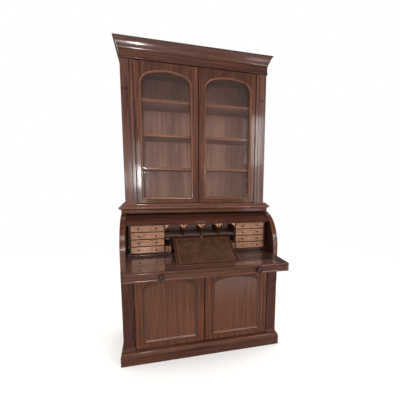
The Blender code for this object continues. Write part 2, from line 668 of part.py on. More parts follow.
for end, side in (("left", -1), ("right", 1)):
    join(cylinder_fall, prism("fall_arm_" + end, None, "X",
                              *signed(side, (fall_half - ARM, fall_half)), [arm_outline]))
    pin_x = signed(side, (fall_half - ARM / 2, INSIDE + PIN_LENGTH))
    join(cylinder_fall, rod("fall_pin_" + end, None, "X", (sum(pin_x) / 2, PIVOT_Y, PIVOT_Z),
                            PIN, pin_x[1] - pin_x[0]))
hang(fall, cylinder_fall)
small_knob = [(0.0, 0.021), (0.006, 0.0205), (0.010, 0.017), (0.0105, 0.014), (0.009, 0.010), (0.0055, 0.007),
              (0.0055, 0.003), (0.008, 0.002), (0.008, 0.0), (0.0, 0.0)]
knob_r = FALL_OUTER + SEAT
for end, side in (("left", -1), ("right", 1)):
    foot = (side * (fall_half - FALL_KNOB_INSET), PIVOT_Y - knob_r * math.cos(FALL_KNOB_ANGLE),
            PIVOT_Z + knob_r * math.sin(FALL_KNOB_ANGLE))
    hang(fall, turned("cylinder_knob_" + end, "mahogany", foot, math.pi / 2 - FALL_KNOB_ANGLE, small_knob))

# Writing slide: board on two runners, with a well for the slope
board_low = SLIDE_TOP - SLIDE_BOARD
runner_in = SLIDE_HALF - RUNNER
slide_outline = [
    (-SLIDE_HALF, BED_TOP + SEAT), (-runner_in, BED_TOP + SEAT), (-runner_in, board_low), (runner_in, board_low),
    (runner_in, BED_TOP + SEAT), (SLIDE_HALF, BED_TOP + SEAT), (SLIDE_HALF, SLIDE_TOP), (-SLIDE_HALF, SLIDE_TOP)]
writing_slide = prism("writing_slide", "mahogany", "Y", RAIL_DEPTH + SEAT, SLIDE_LENGTH, [slide_outline])
well_half = SLOPE_HALF + SLOPE_CLEAR
cut(writing_slide, board("slope_well", None, (-well_half, well_half), (SLOPE_Y - SLOPE_CLEAR, WELL_REAR),
                         (SLIDE_TOP - WELL_DEPTH, SLIDE_TOP + OVERCUT)))
face_top = SLIDE_TOP - 2 * RAIL_NOSE - 2 * RAIL_STEP
bead_top = RAIL_BOTTOM + 2 * RAIL_BEAD
rail_outline = [(RAIL_DEPTH, RAIL_BOTTOM), (RAIL_DEPTH, SLIDE_TOP)]
rail_outline += arc((RAIL_NOSE, SLIDE_TOP - RAIL_NOSE), RAIL_NOSE, math.pi / 2, 1.5 * math.pi, 8)
rail_outline += [(RAIL_QUIRK, face_top), (RAIL_FACE, face_top - RAIL_STEP), (RAIL_FACE, bead_top + RAIL_STEP)]
rail_outline += arc((RAIL_BEAD, RAIL_BOTTOM + RAIL_BEAD), RAIL_BEAD, 0.5 * math.pi, 1.5 * math.pi, 8)
slide_front = prism("slide_front", "mahogany", "X", -SLIDE_HALF, SLIDE_HALF, [rail_outline])
hang(slide, writing_slide, slide_front)
slide_knob = [(0.0, 0.0), (0.011, -0.0005), (0.018, -0.004), (0.021, -0.010), (0.0195, -0.015), (0.013, -0.020),
              (0.010, -0.025), (0.013, -0.028), (0.013, -0.0347), (0.0, -0.0347)]
knob_foot = RAIL_FACE - SEAT
slide_knob = [(radius, reach + SLIDE_KNOB_REACH + knob_foot) for radius, reach in slide_knob]
for end, side in (("left", -1), ("right", 1)):
    foot = (side * (SLIDE_HALF - SLIDE_KNOB_INSET), knob_foot, SLIDE_TOP - SLIDE_KNOB_DROP)
    hang(slide, turned("slide_knob_" + end, "mahogany", foot, math.pi / 2, slide_knob, 24))

# Slope: framed leather on a thin board, and the strut that holds it up
slope_frame = board("slope_frame", "red_mahogany", (-SLOPE_HALF, SLOPE_HALF), (SLOPE_Y, SLOPE_Y + SLOPE_LENGTH),
                    (SLIDE_TOP - SLOPE_THICKNESS, SLIDE_TOP))
pad_half = SLOPE_HALF - SLOPE_RAIL
pad_y = (SLOPE_Y + SLOPE_RAIL, SLOPE_Y + SLOPE_LENGTH - SLOPE_RAIL)
cut(slope_frame, board("leather_bed", None, (-pad_half, pad_half), pad_y, (SLIDE_TOP - LEATHER - SEAT, SLIDE_TOP + OVERCUT)))
leather = board("slope_leather", "leather", (-pad_half + SEAT, pad_half - SEAT), (pad_y[0] + SEAT, pad_y[1] - SEAT),
                (SLIDE_TOP - LEATHER, SLIDE_TOP))
hang(slope, slope_frame, leather)
fold = STRUT_TILT - SLOPE_TILT
strut_base = STRUT_Y - SLOPE_Y
strut_lift = strut_base * math.sin(SLOPE_TILT) + STRUT_DROP * math.cos(SLOPE_TILT)
strut_lift -= STRUT_HALF * math.cos(fold) + SLOPE_THICKNESS + STRUT_CLEAR
strut_reach = strut_lift / math.sin(fold)
strut_axis = (STRUT_Y, SLIDE_TOP - STRUT_DROP)
strut_outline = arc(strut_axis, STRUT_HALF, math.pi / 2, 1.5 * math.pi, 6)
strut_outline += [(STRUT_Y + strut_reach, strut_axis[1] - STRUT_HALF),
                  (STRUT_Y + strut_reach, strut_axis[1] + STRUT_HALF)]
hang(strut, prism("slope_strut", "mahogany", "X", -STRUT_WIDTH / 2, STRUT_WIDTH / 2, [strut_outline]))

# Nest: two banks of drawers with a slot and a pen drawer beside them, and pigeonholes over the recess
row_pitch = (DRAWER_HIGH - DRAWER_LOW + DRAWER_SHELF) / DRAWER_ROWS
rows = []
for i in range(DRAWER_ROWS):
    low = DRAWER_LOW + i * row_pitch
    rows.append((low, low + row_pitch - DRAWER_SHELF))
nest_back = NEST_Y + NEST_DEPTH - NEST_BACK
drawer_knob = [(0.0, 0.014), (0.004, 0.0135), (0.0065, 0.0105), (0.006, 0.0075), (0.0035, 0.005), (0.0035, -0.002),
               (0.0, -0.002)]


def drawer(name, x, z, knobs):
    tray_x = (x[0] + DRAWER_CLEAR, x[1] - DRAWER_CLEAR)
    tray_z = (z[0] + DRAWER_CLEAR, z[1] - DRAWER_CLEAR)
    tray = board(name, "satinwood", tray_x, (NEST_Y, NEST_Y + DRAWER_LENGTH), tray_z)
    cut(tray, board(name + "_tray", None, (tray_x[0] + DRAWER_WALL, tray_x[1] - DRAWER_WALL),
                    (NEST_Y + DRAWER_FRONT, NEST_Y + DRAWER_LENGTH - DRAWER_WALL),
                    (tray_z[0] + DRAWER_BOTTOM, tray_z[1] + OVERCUT)))
    for i, knob_x in enumerate(knobs):
        join(tray, turned(name + "_knob_" + str(i), None, (knob_x, NEST_Y, sum(tray_z) / 2),
                          math.pi / 2, drawer_knob, 10))
    slot = carrier(name + "_carrier", (sum(x) / 2, NEST_Y, sum(z) / 2), root)
    hang(slot, tray)


for end, side in (("left", -1), ("right", 1)):
    drawer_x = signed(side, DRAWER_X)
    pen_x = signed(side, PEN_X)
    pen_z = (DRAWER_LOW, PEN_HIGH)
    outside = [(side * across, up) for across, up in (
        (RECESS_HALF, NEST_BOTTOM), (FITTED, NEST_BOTTOM), (FITTED, NEST_BASE_TOP), (NEST_OUTER, NEST_BASE_TOP),
        (NEST_OUTER, NEST_TOP), (NEST_INNER, NEST_TOP), (NEST_INNER, COLUMN_TOP), (RECESS_HALF, COLUMN_TOP))]
    case = prism("nest_case_" + end, "mahogany", "Y", NEST_Y, NEST_Y + NEST_DEPTH, [outside])
    holes = [(drawer_x, row) for row in rows] + [(pen_x, pen_z), (pen_x, SLOT_Z)]
    for i, (hole_x, hole_z) in enumerate(holes):
        cut(case, board("nest_hole_" + end + "_" + str(i), None, hole_x, (NEST_Y - OVERCUT, nest_back), hole_z))
    join(case, board("nest_base_" + end, None, signed(side, (RECESS_HALF + SEAT, FITTED - SEAT)),
                     (nest_back + SEAT, FITTED_BACK), (NEST_BOTTOM + SEAT, NEST_BASE_TOP - SEAT)))
    hang(root, case)
    for level, row in zip(("first", "second", "third", "fourth"), rows):
        middle = sum(drawer_x) / 2
        drawer("drawer_" + end + "_" + level, drawer_x, row,
               (middle - DRAWER_KNOB_SPREAD, middle + DRAWER_KNOB_SPREAD))
    drawer("pen_drawer_" + end, pen_x, pen_z, (sum(pen_x) / 2,))

hole_half = NEST_INNER - SEAT - HOLE_WALL
hole_width = (2 * hole_half - (HOLE_COUNT - 1) * HOLE_DIVIDER) / HOLE_COUNT
hole_spans = []
for i in range(HOLE_COUNT):
    low = -hole_half + i * (hole_width + HOLE_DIVIDER)
    hole_spans.append((low, low + hole_width))
nest_x = NEST_INNER - SEAT
pigeonholes = board("pigeonholes", "mahogany", (-nest_x, nest_x), (NEST_Y, NEST_Y + NEST_DEPTH),
                    (COLUMN_TOP + SEAT, NEST_TOP))
for i, span in enumerate(hole_spans):
    cut(pigeonholes, board("pigeonhole_" + str(i), None, span, (NEST_Y - OVERCUT, nest_back), HOLE_Z))
for i, (low, high) in enumerate(hole_spans):
    top = HOLE_Z[1]
    drop = top - BRACKET_DROP
    strip = top - BRACKET_STRIP
    left = low - BRACKET_SET
    right = high + BRACKET_SET
    roof = top + BRACKET_SET
    bend = drop + 0.40 * BRACKET_DROP
    ease = strip - 0.11 * BRACKET_DROP
    fret = [(left, drop), (left, roof), (right, roof), (right, drop), (high, drop)]
    fret += [(high - 0.22 * BRACKET_WIDTH, bend), (high - 0.55 * BRACKET_WIDTH, ease), (high - BRACKET_WIDTH, strip)]
    fret += [(low + BRACKET_WIDTH, strip), (low + 0.55 * BRACKET_WIDTH, ease), (low + 0.22 * BRACKET_WIDTH, bend)]
    fret.append((low, drop))
    join(pigeonholes, prism("bracket_" + str(i), None, "Y", NEST_Y + BRACKET_SET, NEST_Y + BRACKET_THICKNESS, [fret]))
hang(root, pigeonholes)
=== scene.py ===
import math
from types import SimpleNamespace

import bmesh
import bpy
from mathutils import Matrix, Vector


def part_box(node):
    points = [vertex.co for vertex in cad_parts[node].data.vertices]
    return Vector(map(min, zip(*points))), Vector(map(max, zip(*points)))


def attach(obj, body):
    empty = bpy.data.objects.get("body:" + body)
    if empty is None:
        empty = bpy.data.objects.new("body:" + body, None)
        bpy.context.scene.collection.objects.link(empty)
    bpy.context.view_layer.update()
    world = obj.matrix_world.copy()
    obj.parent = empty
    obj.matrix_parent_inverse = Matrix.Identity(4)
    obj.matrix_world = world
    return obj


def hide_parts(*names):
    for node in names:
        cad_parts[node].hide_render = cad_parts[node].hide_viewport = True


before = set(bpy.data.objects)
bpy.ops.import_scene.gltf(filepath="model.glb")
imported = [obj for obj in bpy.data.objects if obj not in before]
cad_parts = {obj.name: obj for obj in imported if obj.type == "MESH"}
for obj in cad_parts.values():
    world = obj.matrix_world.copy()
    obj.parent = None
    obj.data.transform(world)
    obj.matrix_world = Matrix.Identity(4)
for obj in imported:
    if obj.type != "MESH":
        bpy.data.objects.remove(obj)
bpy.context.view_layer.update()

# Sizes are in metres, with y 0 at the cupboard doors' face, the slide in, the fall shut and the slope flat
SEAT = 0.0003
DEPTH = 0.58
DESK_HALF = 0.584
INSIDE = 0.547
CASE_HALF = 0.5536
CASE_FRONT = 0.2515
FRONT = 0.022
STAND = 0.1043
BED_TOP = 0.7003
SLIDE_TOP = 0.762
SLIDE_HALF = 0.5455
PIVOT = (0.268, 0.804)
DESK_HEIGHT = 1.072
DESK_TOP_FRONT = 0.2385
CASE_BASE = 1.0976
WAIST_TOP = 1.142
CASE_TOP = 2.1689
CORNICE_BASE = 2.1692
TOTAL_HEIGHT = 2.3
SLOPE_Y = 0.109
SLOPE_LENGTH = 0.325
SLOPE_HALF = 0.218
STRUT_AXIS = (0.229, 0.7445)
NEST_Y = 0.14
ROOM_Y = 0.138
SLIDE_TRAVEL = 0.272
FALL_TURN, SLOPE_TURN, STRUT_TURN = 58.8, 24.0, 49.0
ENDS = (("left", -1), ("right", 1))

# Where each moving carrier stands in the photograph's pose
ROOM = Matrix.Translation((0, -ROOM_Y, 0))
SLIDE_OUT = ROOM @ Matrix.Translation((0, -SLIDE_TRAVEL, 0))


def turned_about(y, z, degrees, carrier):
    pin = Matrix.Translation((0, y, z))
    return carrier @ pin @ Matrix.Rotation(math.radians(degrees), 4, "X") @ pin.inverted()


FALL_UP = turned_about(*PIVOT, -FALL_TURN, ROOM)
SLOPE_UP = turned_about(SLOPE_Y, SLIDE_TOP, SLOPE_TURN, SLIDE_OUT)
STRUT_UP = turned_about(*STRUT_AXIS, STRUT_TURN, SLIDE_OUT)


def milli(*rows):
    # Tints are listed in thousandths, and profiles in millimetres
    return [tuple(value / 1000 for value in row) for row in rows]


# Finishes
def socket_of(sockets, key):
    # Several sockets can share a name, so an identifier comes first
    return next((socket for socket in sockets if socket.identifier == key), None) or sockets[key]


class Stain:
    """A value on its way through a node tree; sums on it add Math nodes."""

    def __init__(self, tree, socket=None):
        self.tree = tree
        self.socket = socket

    def add(self, kind, sockets=None, out=0, **settings):
        node = self.tree.nodes.new(kind)
        for key, value in settings.items():
            setattr(node, key, value)
        for key, value in (sockets or {}).items():
            target = socket_of(node.inputs, key)
            if isinstance(value, Stain):
                self.tree.links.new(value.socket, target)
            else:
                target.default_value = value
        return Stain(self.tree, socket_of(node.outputs, out))

    def sum(self, operation, first, second, kind="ShaderNodeMath"):
        return self.add(kind, {0: first, 1: second}, operation=operation)

    def __add__(self, other):
        return self.sum("ADD", self, other)

    __radd__ = __add__

    def __sub__(self, other):
        return self.sum("SUBTRACT", self, other)

    def __rsub__(self, other):
        return self.sum("SUBTRACT", other, self)

    def __mul__(self, other):
        return self.sum("MULTIPLY", self, other)

    def place(self, kind="Object"):
        return self.add("ShaderNodeTexCoord", out=kind)

    def part(self, axis):
        return self.add("ShaderNodeSeparateXYZ", {"Vector": self}, axis)

    def vector(self, operation, other):
        return self.sum(operation, self, other, "ShaderNodeVectorMath")

    def between(self, low, high):
        return self.add("ShaderNodeMapRange", {"Value": self, "From Min": low, "From Max": high},
                        interpolation_type="SMOOTHSTEP")

    def mix(self, first, second):
        values = {"Factor_Float": self}
        for key, colour in (("A_Color", first), ("B_Color", second)):
            values[key] = colour if isinstance(colour, Stain) else (*colour, 1.0)
        return self.add("ShaderNodeMix", values, "Result_Color", data_type="RGBA")

    def noise(self, scale, detail=2.0, rough=0.5):
        # The scale is one number, or one for each axis
        steps = scale if isinstance(scale, tuple) else (scale,) * 3
        return self.add("ShaderNodeTexNoise", {
            "Vector": self.vector("MULTIPLY", steps), "Scale": 1.0, "Detail": detail, "Roughness": rough}, "Fac")

    def bump(self, strength, distance):
        return self.add("ShaderNodeBump", {"Height": self, "Strength": strength, "Distance": distance}, "Normal")


def new_finish(name, fixed):
    # A start for the sums, and a call that links their results and gives the finish back
    surface = bpy.data.materials.new(name)
    surface.use_nodes = True
    tree = surface.node_tree
    shader = tree.nodes["Principled BSDF"]
    for key, value in fixed.items():
        shader.inputs[key].default_value = value

    def link(**values):
        for key, value in values.items():
            tree.links.new(value.socket, shader.inputs[key.replace("_", " ")])
        return surface

    return Stain(tree), link


def own_place(stain):
    # Every board has its own cut number, so that the grain breaks at a joint
    cut = stain.add("ShaderNodeAttribute", out="Fac", attribute_name="cut")
    jump = stain.add("ShaderNodeCombineXYZ", {"X": cut * 3.1, "Y": cut * 5.7, "Z": cut * 2.3})
    return stain.place().vector("ADD", jump)


def shade(tint, share):
    return tuple(share * c for c in tint)


def shades(tints, share):
    return [shade(tint, share) for tint in tints]


def timber(name, grain, tints, gloss=0.36, coat=0.14, figure=1.0, sheen=0.09, smoked=None, bloom=None):
    # Top shade gives the heights between which the colour deepens as painted shade, bloom those between which the
    # polish fills out
    stain, link = new_finish(name, {"Coat Weight": coat, "Coat Roughness": sheen, "Specular IOR Level": 0.1})
    dark, middle, light = tints
    spot = own_place(stain)

    def fibres(across, along, *fine):
        return spot.noise(tuple(along if axis == grain else across for axis in "XYZ"), *fine)

    bands = fibres(34, 1.8, 4, 0.65).between(0.36, 0.64)
    streaks = fibres(80, 2.4, 4, 0.65).between(0.4, 0.66)
    lines = fibres(110, 2.4, 4, 0.65).between(0.54, 0.66)
    pores = fibres(620, 16, 2).between(0.6, 0.72)
    drift = fibres(2.6, 1, 2).between(0.34, 0.66)
    polish = spot.noise(6, 3, 0.6)
    colour = (bands * (0.9 * figure)).mix(middle, dark)
    colour = (streaks * (0.55 * figure)).mix(colour, light)
    colour = (lines * (0.65 * figure)).mix(colour, shade(dark, 0.5))
    colour = (drift * 0.3).mix(colour, shade(middle, 1.25))
    colour = (pores * 0.4).mix(colour, shade(dark, 0.4))
    # Painted shade: the colour darkens between the given heights
    if smoked:
        deep = colour.vector("MULTIPLY", (0.5, 0.41, 0.39))
        colour = stain.place().part("Z").between(*smoked).mix(colour, deep)
    if bloom:
        link(Coat_Weight=coat + stain.place().part("Z").between(*bloom) * 0.55)
    rough = gloss + streaks * 0.08 + polish * 0.16 + pores * 0.1
    bump = (streaks * 0.4 + pores * -0.6).bump(0.03 if coat > 0.4 else 0.1, 0.0005)
    return link(Base_Color=colour, Roughness=rough, Normal=bump)


def family(name, axes, tints, **polish):
    # One timber, cut along each axis that it is used on
    return {axis: timber("%s_grain_%s" % (name, axis.lower()), axis, tints, **polish) for axis in axes}


# Each timber's dark, middle and light tints
MAHOGANY = milli((18, 5.2, 3.2), (60, 19.2, 10.8), (138, 50, 28))
WARM = milli((18, 4.6, 2.2), (60, 17, 7.2), (138, 46.5, 21.5))
SHADED = milli((12, 3.8, 2.6), (31, 10.8, 7.2), (66, 24.6, 16))
UPRIGHT = milli((26, 9.4, 6.8), (68, 25.8, 17.8), (134, 54, 35.6))
DIM_UPRIGHT = milli((14, 4, 2.6), (37, 11.2, 7), (74, 25, 15))
COLLAR = milli((30, 10.6, 7), (90, 34.4, 22.7), (195, 81, 53))
SLIDE = milli((36, 16, 11.6), (82, 39, 28.5), (138, 70, 52))
VENEER = milli((36, 11.4, 5.6), (72, 24.4, 12.4), (122, 45.8, 24.5))
RIM = milli((48, 16, 8.6), (92, 33.2, 18), (146, 58, 33))
SHELF_EDGE = milli((62, 18, 9), (124, 39, 20), (190, 68, 36))
WORN = milli((85, 31, 19), (130, 51, 32), (190, 82, 54))
BEVEL_HIGHLIGHT = milli((66, 28, 19), (124, 56, 39), (180, 88, 63))
LIP_RED = milli((24, 6.6, 4.2), (55, 16, 9.8), (88, 27, 16.5))
INSIDE_BOARD = milli((122, 59, 43), (236, 126, 97), (322, 186, 148))
CASE_BOARD = milli((24, 11.2, 8), (52, 25.6, 19), (86, 45, 34))
HOLE_BOARD = milli((140, 78, 60), (220, 130, 102), (280, 174, 140))
SOOT_AND_SHADE = milli((6, 2.2, 1.6), (12, 4.4, 3), (22, 8.4, 5.6))
DEEP_RED = milli((24, 6.8, 3.6), (56, 16.8, 8.8), (108, 36.5, 19.5))
PINE = milli((85, 40, 19), (150, 78, 39), (220, 128, 69))
OAK = milli((200, 115, 56), (300, 185, 95), (390, 260, 145))
SLOPE_RED = milli((18, 6.4, 4.6), (44, 16, 11.5), (74, 29.2, 20))

DRY = {"gloss": 0.5, "coat": 0.04, "figure": 0.7}
ALONG = family("mahogany", "XYZ", MAHOGANY)
POLISH = family("polished_moulding", "XZ", WARM, gloss=0.26, coat=0.5, sheen=0.15)
CUPBOARD = timber("cupboard_mahogany", "Z", WARM)
COLUMN = timber("column_polish", "Z", UPRIGHT, gloss=0.28, coat=0.24, sheen=0.11)
STANDING = timber("lower_column_polish", "Z", DIM_UPRIGHT, gloss=0.4, coat=0.05)
# A lighter copy of the mahogany: painted highlight and light on the waist moulding
WAIST = family("waist_polish_painted_highlight", "XY", COLLAR, gloss=0.24, coat=0.6, sheen=0.15)
CORNICE = family("cornice_polish", "XY", shades(MAHOGANY, 0.8), gloss=0.24, coat=0.36, sheen=0.13)
# A darker copy of the mahogany: painted shade from the cornice on the upper doors' heads; it also darkens the
# mouldings' flat bands
HEAD = family("painted_shade_veneer", "XZ", shades(MAHOGANY, 0.72))
# A darker copy of the mahogany: painted shade on the fall, the desk sides' inner faces, the nest's fronts, the
# slide's ends and the strut
DUSKY = family("painted_shade_mahogany", "XYZ", SHADED)
GLOSSY = family("slide_polish", "XY", SLIDE, gloss=0.12, coat=1.0)
# A darker copy of the slide's polish: painted shade on the right-hand boards
DEEP_GLOSSY = family("slide_polish_painted_shade", "XY", shades(SLIDE, 0.42), gloss=0.16, coat=0.34)
PANEL = {"left": timber("panel_veneer_left", "Z", VENEER, figure=0.72),
         "right": timber("panel_veneer_right", "Z", VENEER, figure=0.72, bloom=(0.34, 0.6))}
RING = family("glazing_bead", "XZ", RIM, gloss=0.24, coat=0.32)
LIPPING = timber("shelf_lipping", "X", SHELF_EDGE, gloss=0.3, coat=0.2)
EDGE = timber("rubbed_edge", "Z", WORN, gloss=0.3)
# Painted highlight on the lower doors' upward-facing foot bevel
HIGHLIT_BEVEL = timber("painted_highlight_bevel", "X", BEVEL_HIGHLIGHT, gloss=0.24, coat=0.4)
LIP = timber("lip_mahogany", "X", LIP_RED)
BACKING = family("inside_board", "X", INSIDE_BOARD, **DRY)
# The upright inside boards darken towards the top: painted shade in the top bay
BACKING.update(family("inside_board", "Z", INSIDE_BOARD, smoked=(1.8, 2.02), **DRY))
NEST = family("nest_board", "XYZ", CASE_BOARD, gloss=0.46, coat=0.06)
HOLE = timber("pigeonhole_board", "X", HOLE_BOARD, **DRY)
# A lighter copy of the pigeonhole board: painted light on the backs in the fall's shadow
HOLE_BACK = timber("pigeonhole_back_painted_light", "X", shades(HOLE_BOARD, 1.6), **DRY)
# Old polish in the quirks, and painted shade in gaps, grooves, edges and under ledges
GRIME_AND_SHADE = timber("old_polish_and_painted_shade", "Z", SOOT_AND_SHADE, gloss=0.6, coat=0.0)
DEEP = family("deep_red_moulding", "XZ", DEEP_RED, gloss=0.28, coat=0.3, sheen=0.14)
RAW = family("unpolished_board", "XZ", PINE, gloss=0.66, coat=0.0)
LINING = timber("drawer_lining", "Y", OAK, gloss=0.58, coat=0.0)
SLOPE_WOOD = family("slope_rail", "XY", SLOPE_RED, gloss=0.34)


def satinwood(name, lift):
    stain, link = new_finish(name, {"Coat Weight": 0.12, "Coat Roughness": 0.15, "Specular IOR Level": 0.2})
    spot = own_place(stain)
    ribbon = spot.noise((26, 60, 90), 4, 0.65).between(0.34, 0.66)
    fleck = spot.noise((110, 120, 190), 4, 0.7).between(0.4, 0.66)
    soil = spot.noise((14, 14, 30), 3).between(0.5, 0.74)
    low, high, brown = shades(milli((165, 72, 39), (300, 146, 86), (130, 56, 31)), lift)
    colour = (fleck * 0.6).mix(ribbon.mix(low, high), brown)
    colour = (soil * 0.6).mix(colour, (0.095, 0.042, 0.025))
    return link(Base_Color=colour, Roughness=0.34 + fleck * 0.14, Normal=fleck.bump(0.08, 0.0004))


LEATHER_SIZE = (0.386, 0.275)


def worn_leather():
    stain, link = new_finish("worn_leather", {"Specular IOR Level": 0.15})
    spot, pad = stain.place(), stain.place("UV")
    # The rim is the distance from the nearest edge
    sides, ends = ((0.5 - stain.sum("ABSOLUTE", pad.part(axis) - 0.5, 0.0)) * length
                   for axis, length in zip("XY", LEATHER_SIZE))
    rim = stain.sum("MINIMUM", sides, ends)
    line = 1 - rim.between(0.0018, 0.0034)
    rubbed = spot.noise(16, 4, 0.62).between(0.36, 0.66)
    blotch = spot.noise(55, 4, 0.65).between(0.4, 0.7)
    pebble = stain.add("ShaderNodeTexVoronoi", {"Vector": spot, "Scale": 620.0}, "Distance", feature="F1")
    crease = spot.noise(240, 3, 0.6)
    colour = rubbed.mix((0.042, 0.0178, 0.009), (0.07, 0.0328, 0.0178))
    colour = (blotch * 0.55).mix(colour, (0.028, 0.014, 0.008))
    colour = ((1 - rim.between(0.002, 0.018)) * 0.4).mix(colour, (0.026, 0.014, 0.008))
    colour = (line * 0.6).mix(colour, (0.15, 0.086, 0.048))
    bump = (pebble * 0.5 + crease * 0.5 - line * 0.8).bump(0.3, 0.0008)
    return link(Base_Color=colour, Roughness=0.46 + blotch * 0.18, Normal=bump)


def turned_rosewood():
    stain, link = new_finish(
        "turned_rosewood", {"Coat Weight": 0.22, "Coat Roughness": 0.1, "Specular IOR Level": 0.1})
    spot = own_place(stain)
    rub = spot.noise(110, 3).between(0.42, 0.72)
    vein = spot.noise((60, 300, 300), 3, 0.6).between(0.44, 0.62)
    colour = rub.mix((0.011, 0.0033, 0.0022), (0.033, 0.0098, 0.006))
    colour = (vein * 0.4).mix(colour, (0.008, 0.0036, 0.003))
    return link(Base_Color=colour, Roughness=0.3 + rub * 0.16)


def aged_brass(name, bright, dull, metal):
    stain, link = new_finish(name, {"Metallic": metal})
    spot = own_place(stain)
    tarnish = spot.noise(90, 4, 0.6).between(0.38, 0.68)
    scratch = spot.noise((900, 900, 60), 2).between(0.5, 0.7)
    return link(Base_Color=tarnish.mix(bright, dull), Roughness=0.28 + tarnish * 0.26,
                Normal=(tarnish + scratch).bump(0.1, 0.0003))


def old_glass():
    stain, link = new_finish("old_sheet_glass", {"Base Color": (0.34, 0.29, 0.275, 1.0), "IOR": 1.5})
    spot = stain.place()
    ripple = spot.noise((5, 5, 3), 2)
    dust = spot.noise(26, 4, 0.65).between(0.45, 0.8)
    glance = stain.add("ShaderNodeLayerWeight", {"Blend": 0.22}, "Fresnel")
    return link(Alpha=0.022 + glance * 0.3 + dust * 0.016, Roughness=0.03 + dust * 0.05,
                Normal=ripple.bump(0.1, 0.01))


def mottled(name, fixed, scale, detail, first, second, rough, spread):
    # One soft noise drives both the colour and the roughness
    stain, link = new_finish(name, fixed)
    cloud = stain.place().noise(scale, detail)
    return link(Base_Color=cloud.mix(first, second), Roughness=rough + cloud * spread)


SATINWOOD = satinwood("satinwood_front", 1)
# A lighter copy of the satinwood: painted light on the brackets in the fall's shadow
BRACKET_WOOD = satinwood("satinwood_bracket_painted_light", 1.9)
LEATHER = worn_leather()
ROSEWOOD = turned_rosewood()
BRASS = aged_brass("aged_brass", (0.38, 0.29, 0.2), (0.2, 0.145, 0.098), 0.55)
PLATE = aged_brass("dull_lock_brass", (0.17, 0.125, 0.088), (0.07, 0.049, 0.035), 0.6)
BRONZED = aged_brass("darkened_brass", (0.03, 0.0195, 0.012), (0.01, 0.0066, 0.0048), 0.35)
GLASS = old_glass()
LOCK_DARK = mottled("lock_shadow", {}, 300.0, 2.0, (0.004, 0.003, 0.003), (0.012, 0.009, 0.008), 0.6, 0.3)
PALE_FLOOR = mottled("pale_floor", {"Specular IOR Level": 0.2}, 0.7, 3.0,
                     (0.85, 0.85, 0.845), (0.88, 0.88, 0.875), 0.7, 0.2)


# Outlines
def oval(centre, across, up, degrees):
    turns = [math.radians(angle) for angle in degrees]
    return [(centre[0] + across * math.cos(turn), centre[1] + up * math.sin(turn)) for turn in turns]


def arc(centre, radius, start, end, steps):
    return oval(centre, radius, radius, [start + (end - start) * i / steps for i in range(steps + 1)])


def drum(radius, start, end, steps):
    # Around the fall's pivot; the angle rises from the front
    return arc(PIVOT, radius, 180 - start, 180 - end, steps)


def arched(x, z, inset, arch, fine=2):
    # Square below, a basket arch above, given by its rise and its shoulders' radius
    rise, shoulder = arch
    middle = (x[0] + x[1]) / 2
    half = (x[1] - x[0]) / 2
    spring = z[1] - rise
    reach = half - shoulder
    crown = (half ** 2 + rise ** 2 - 2 * half * shoulder) / (2 * (rise - shoulder))
    lean = math.degrees(math.atan2(reach, crown - rise))
    points = [(middle - half + inset, z[0] + inset), (middle + half - inset, z[0] + inset)]
    points += arc((middle + reach, spring), shoulder - inset, 0, 90 - lean, 6 * fine)
    points += arc((middle, z[1] - crown), crown - inset, 90 - lean, 90 + lean, 8 * fine)[1:-1]
    points += arc((middle - reach, spring), shoulder - inset, 90 + lean, 180, 6 * fine)
    return points


def signed(side, pair):
    return tuple(sorted((side * pair[0], side * pair[1])))


def rectangle(first, second):
    return [(first[0], second[0]), (first[1], second[0]), (first[1], second[1]), (first[0], second[1])]


def middle_of(face):
    return face.calc_center_median()


def placed(name, data):
    made = bpy.data.objects.new(name, data)
    bpy.context.scene.collection.objects.link(made)
    return made


